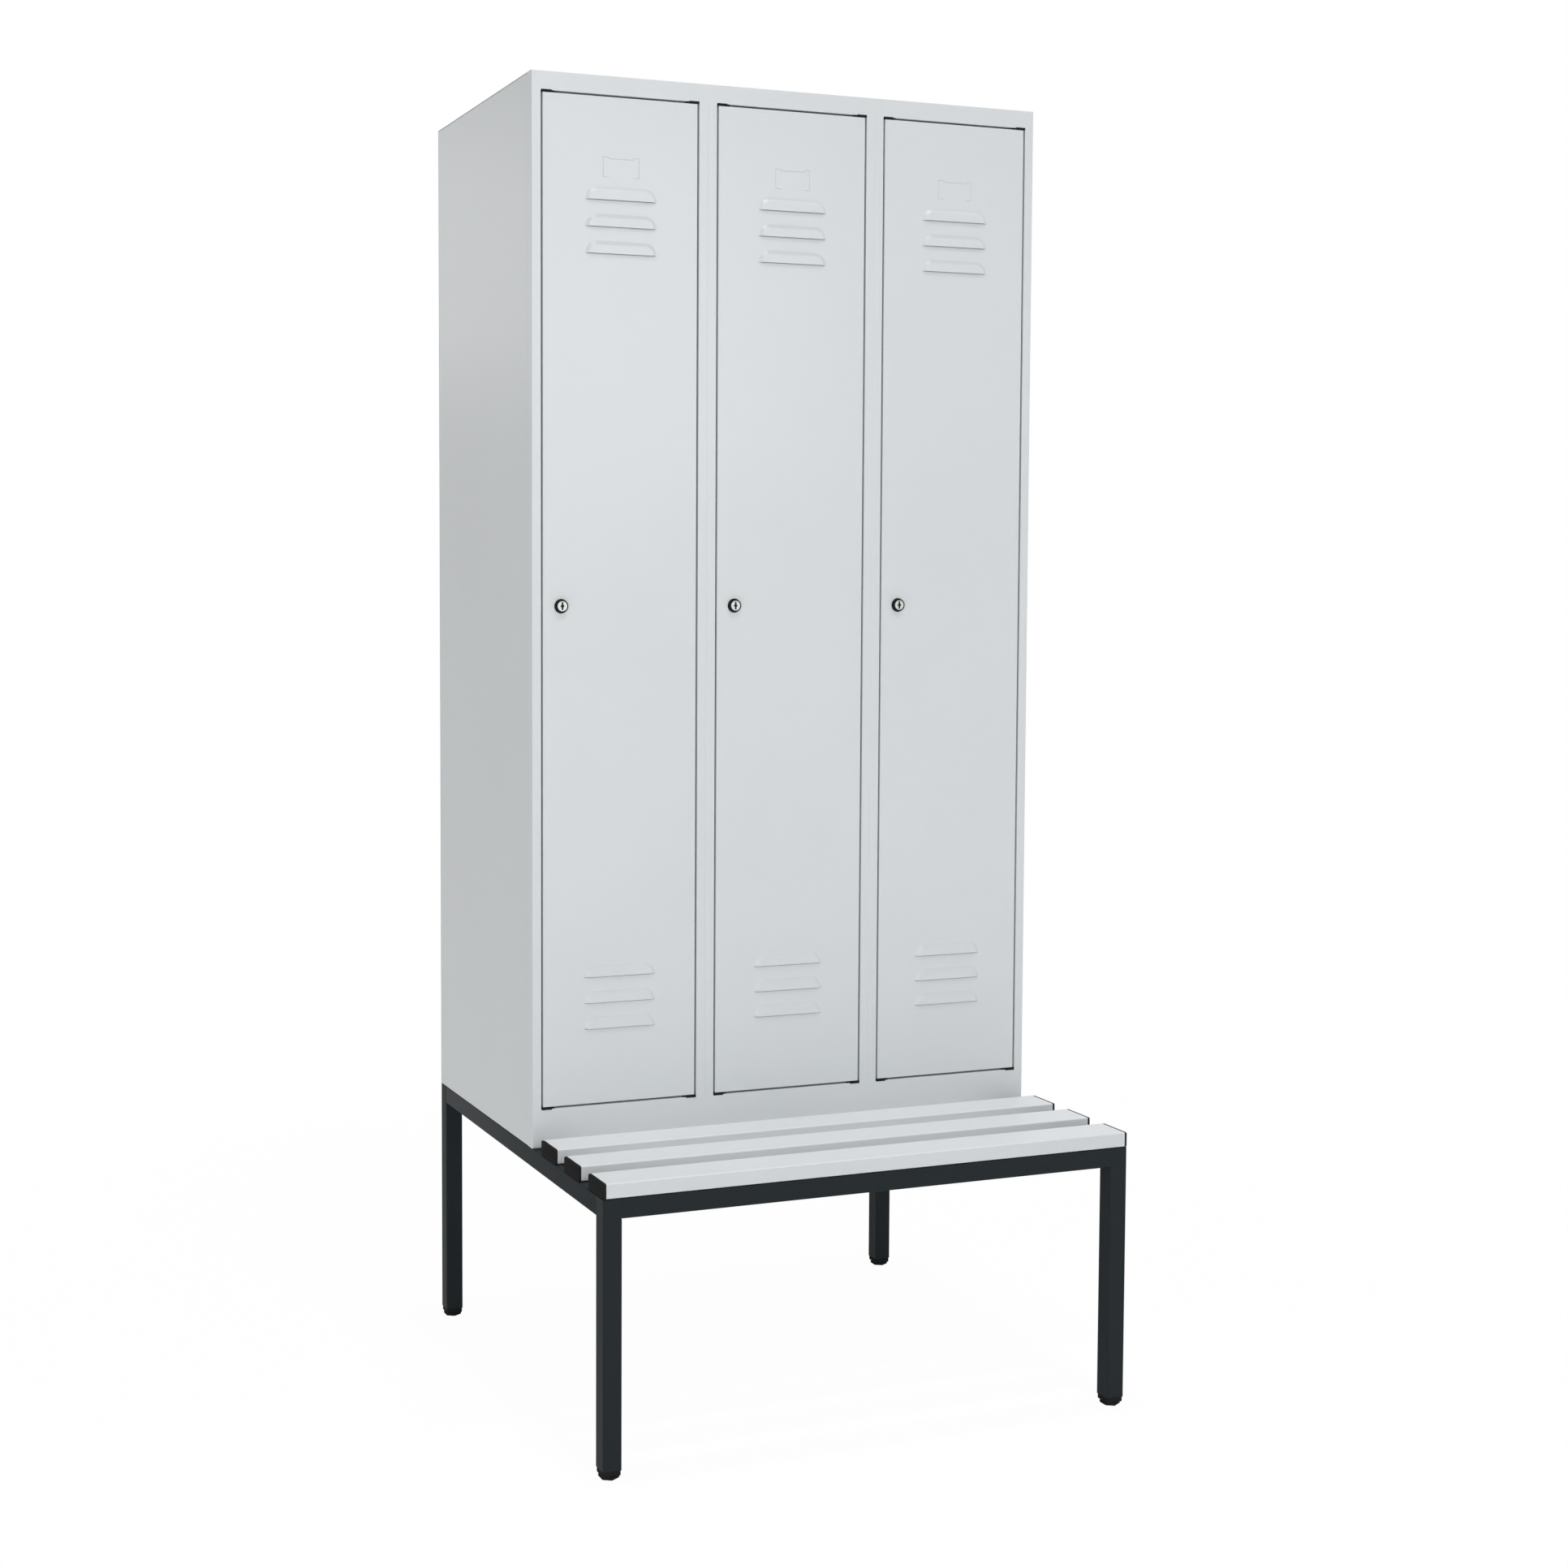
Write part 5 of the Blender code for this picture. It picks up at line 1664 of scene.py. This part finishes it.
@dataclass
class Compartment:
    """The hat shelf, coat rail and sliding double hook of one compartment."""

    index: int
    rail_y: float = 0.1575
    rail_z: float = 1.7403
    rail_radius: float = 0.009
    rail_bore: float = 0.0078
    rosette_radius: float = 0.016
    rosette_thickness: float = 0.002
    rosette_edge: float = 0.0006
    sleeve_clearance: float = 0.0003
    sleeve_wall: float = 0.003
    sleeve_length: float = 0.014
    sleeve_edge: float = 0.0008
    turned_steps: int = 40
    wire: float = 0.0025
    stem_gain: float = 1.2  # how much thicker the stem is than the bow
    stem_overlap: float = 0.0015
    stem_points: int = 8
    bow_drop: float = 0.040
    bow_radius: float = 0.020
    bow_steps: int = 36
    tip_rise_deg: float = 20.0

    @property
    def name(self) -> str:
        """The compartment's name."""
        return COMPARTMENTS[self.index]

    def coat_rail(self) -> None:
        """Make the rail between its two rosettes."""
        low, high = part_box("coat_rail_" + self.name)
        middle = (low.x + high.x) / 2
        half = (high.x - low.x) / 2
        shoulder = half - self.rosette_thickness
        soft = self.rosette_edge
        right = [
            [self.rail_bore, half],
            [self.rosette_radius - soft, half],
            [self.rosette_radius, half - soft],
            [self.rosette_radius, shoulder + soft],
            [self.rosette_radius - soft, shoulder],
            [self.rail_radius, shoulder],
        ]
        left = [[radius, -along] for radius, along in reversed(right)]
        centre = (middle, self.rail_y, self.rail_z)
        shell = lathe(np.array(right + left), Axis.X, centre, self.turned_steps, ring=True)
        shell.stand_in("coat_rail_" + self.name, "turned", ZINC_STEEL)

    def wire_shape(self, path: Array, radius: float) -> Shell:
        """A round wire with round ends along a path that lies across the rail.

        The path's ends are drawn out by half circles of shrinking radius. Each ring stands square to
        the path: the radius times cosine along the rail plus sine along the path's normal.

        Args:
            path: Points (depth, height).
            radius: The wire's radius.

        Returns:
            The wire's shell.
        """
        low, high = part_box("coat_hook_" + self.name)
        middle = (low.x + high.x) / 2
        tangent = np.gradient(path, axis=0)
        tangent /= np.linalg.norm(tangent, axis=1)[:, None]
        turn = np.radians(np.array([90.0, 60.0, 30.0]))
        start = path[0] - tangent[0] * radius * np.sin(turn)[:, None]
        end = path[-1] + tangent[-1] * radius * np.sin(turn)[::-1, None]
        line = np.concatenate([start, path, end])
        direction = np.concatenate([np.repeat(tangent[:1], 3, 0), tangent, np.repeat(tangent[-1:], 3, 0)])
        tip = radius * np.cos(turn)
        sizes = np.concatenate([tip, np.full(len(path), radius), tip[::-1]])
        normal = np.stack([-direction[:, 1], direction[:, 0]], axis=1)
        angles = np.linspace(0, 2 * math.pi, 16, endpoint=False)
        x = middle + sizes[:, None] * np.cos(angles)[None]
        y = line[:, :1] + sizes[:, None] * np.sin(angles)[None] * normal[:, :1]
        z = line[:, 1:] + sizes[:, None] * np.sin(angles)[None] * normal[:, 1:]
        return Shell().grid(np.stack([x, y, z], axis=2), wrap_columns=True)

    def hook(self) -> None:
        """Make the hook: a sleeve on the rail, a stem and a bow with a tip to either side."""
        low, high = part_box("coat_hook_" + self.name)
        middle = (low.x + high.x) / 2
        inner = self.rail_radius + self.sleeve_clearance
        outer = inner + self.sleeve_wall
        half = self.sleeve_length / 2
        soft = self.sleeve_edge
        profile = np.array(
            [
                [inner, half],
                [outer - soft, half],
                [outer, half - soft],
                [outer, soft - half],
                [outer - soft, -half],
                [inner, -half],
            ]
        )
        shell = lathe(profile, Axis.X, (middle, self.rail_y, self.rail_z), self.turned_steps, ring=True)
        bow_z = self.rail_z - self.bow_drop
        rise = self.tip_rise_deg
        bow = arc((self.rail_y, bow_z), self.bow_radius, 180 - rise, 360 + rise, self.bow_steps)
        shell.join(self.wire_shape(bow, self.wire))
        top = self.rail_z - inner - self.stem_overlap
        heights = np.linspace(top, bow_z - self.bow_radius, self.stem_points)
        stem = np.stack([np.full(heights.size, self.rail_y), heights], axis=1)
        shell.join(self.wire_shape(stem, self.wire * self.stem_gain))
        shell.stand_in("coat_hook_" + self.name, "moulded", BLACK_PLASTIC, "hook_" + self.name)

    def build(self, frame: dict) -> None:
        """Make the compartment's fittings."""
        refined(frame, "hat_shelf_" + self.name, LIGHT_GREY_PAINT)
        self.coat_rail()
        self.hook()
        LOG.info("compartment %s: shelf, rail, hook", self.name)


@dataclass(frozen=True)
class Lamp:
    """A soft rectangular lamp that the camera doesn't see."""

    name: str
    place: tuple[float, float, float]
    target: tuple[float, float, float]
    size: tuple[float, float]
    power: float

    def add(self) -> None:
        """Put the lamp in its place and point it at its target."""
        data = bpy.data.lights.new(self.name, "AREA")
        data.shape = "RECTANGLE"
        data.size, data.size_y = self.size
        data.energy = self.power
        lamp = bpy.data.objects.new(self.name, data)
        lamp.location = self.place
        aim = Vector(self.target) - Vector(self.place)
        lamp.rotation_euler = aim.to_track_quat("-Z", "Y").to_euler()
        lamp.visible_camera = False
        bpy.context.scene.collection.objects.link(lamp)


# Each lamp's name, place, target, width and height, and watts
LAMPS = (
    Lamp("front softbox", (0.9, -3.6, 2.1), (-0.1, 0.0, 1.6), (1.2, 0.9), 15.5),
    Lamp("far softbox", (0.6, -5.0, 3.4), (0.0, 0.0, 1.0), (1.2, 1.0), 13.0),
    Lamp("left softbox", (-2.6, -3.6, 1.6), (-0.2, 0.0, 1.2), (1.0, 1.0), 25.0),
    Lamp("low softbox", (0.1, -4.0, 0.45), (0.0, 0.0, 0.6), (1.6, 0.9), 8.0),
    Lamp("high softbox", (0.0, -3.0, 7.0), (0.0, -0.3, 0.6), (1.6, 0.8), 84.0),
    Lamp("ceiling softbox", (0.0, 0.10, 14.0), (0.0, 0.10, 0.0), (1.4, 0.3), 740.0),
    Lamp("rear softbox", (-1.7, 3.8, 2.45), (-0.45, 0.1, 1.8), (0.9, 0.9), 2.4),
    Lamp("back softbox", (1.2, 4.4, 1.8), (0.0, 0.4, 1.2), (1.2, 1.2), 15.0),
)


@dataclass
class Studio:
    """Plain pale floor, soft light and the camera at the photograph's viewing angle."""

    floor_half: float = 12.0
    floor_colour: Colour = (240, 240, 240)
    white_share: float = 0.97
    fade_from: float = 1.0
    fade_to: float = 3.5
    world_level: float = 0.375
    camera_place: tuple[float, float, float] = (-1.59738, -3.38501, 1.32347)
    camera_pitch_deg: float = -3.3462
    camera_yaw_deg: float = 20.0566
    sensor_width: float = 36.0
    lens: float = 50.742
    shift_x: float = 0.14
    shift_y: float = -0.045

    def seen_directly(self, desk: ShaderDesk) -> Signal:
        """A mask of 1 for the rays that show the background: seen, mirrored or through glass."""
        path = desk.node("ShaderNodeLightPath")
        camera = desk.signal(path, "Is Camera Ray")
        glossy = desk.signal(path, "Is Glossy Ray")
        through = desk.signal(path, "Is Transmission Ray")
        return camera.largest(glossy).largest(through)

    def floor(self) -> None:
        """Make the floor, which shows a light shadow near the locker and white farther away."""
        half = self.floor_half
        corners = np.array([[-half, -half, 0], [half, -half, 0], [half, half, 0], [-half, half, 0]])
        made = bpy.data.meshes.new("floor")
        made.from_pydata(corners.tolist(), [], [[0, 1, 2, 3]])
        plane = bpy.data.objects.new("floor", made)
        bpy.context.scene.collection.objects.link(plane)
        material = bpy.data.materials.new("pale floor")
        material.use_nodes = True
        desk = ShaderDesk(material.node_tree)
        length = desk.node("ShaderNodeVectorMath", {"operation": "LENGTH"}, {0: desk.place()})
        distance = desk.signal(length, "Value")
        far = ((distance - self.fade_from) / (self.fade_to - self.fade_from)).held()
        share = (self.white_share + far * (1 - self.white_share)) * self.seen_directly(desk)
        matt = desk.node("ShaderNodeBsdfDiffuse", None, {"Color": linear(self.floor_colour)})
        white = desk.node("ShaderNodeEmission", None, {"Color": (1, 1, 1, 1), "Strength": 1.0})
        mixed = desk.node("ShaderNodeMixShader", None, {0: share, 1: matt.outputs[0], 2: white.outputs[0]})
        desk.output(mixed.outputs[0])
        made.materials.append(material)

    def world(self) -> None:
        """Make the world: white where it is seen, and a softer grey where it lights the locker."""
        world = bpy.data.worlds.new("studio")
        world.use_nodes = True
        bpy.context.scene.world = world
        desk = ShaderDesk(world.node_tree)
        seen = self.seen_directly(desk)
        level = self.world_level + seen * (1 - self.world_level)
        background = desk.node("ShaderNodeBackground", None, {"Color": (1, 1, 1, 1), "Strength": level})
        desk.output(background.outputs[0], "ShaderNodeOutputWorld")

    def camera(self) -> None:
        """Add the camera."""
        data = bpy.data.cameras.new("camera")
        data.sensor_width = self.sensor_width
        data.lens = self.lens
        data.shift_x = self.shift_x
        data.shift_y = self.shift_y
        camera = bpy.data.objects.new("camera", data)
        camera.location = self.camera_place
        tilt = math.radians(90 + self.camera_pitch_deg)
        camera.rotation_euler = (tilt, 0, -math.radians(self.camera_yaw_deg))
        bpy.context.scene.collection.objects.link(camera)
        bpy.context.scene.camera = camera

    def build(self) -> None:
        """Set up the studio."""
        self.floor()
        self.world()
        for lamp in LAMPS:
            lamp.add()
        self.camera()
        bpy.context.scene.view_settings.view_transform = "Standard"
        LOG.info("studio: floor, world, lamps, camera")


def main() -> None:
    """Build every part of the scene in order."""
    logging.basicConfig(level=logging.INFO, format="%(name)s: %(message)s")
    for leftover in list(bpy.data.objects):
        bpy.data.objects.remove(leftover)
    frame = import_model()
    TubeBase().build()
    Bench().build()
    FrontFrame().build()
    Carcass().build(frame)
    CornerFittings().build()
    for index in range(len(COMPARTMENTS)):
        DoorLeaf(index).build()
        LockSet(index).build(frame)
        Compartment(index).build(frame)
    Studio().build()


if __name__ == "__main__":
    main()
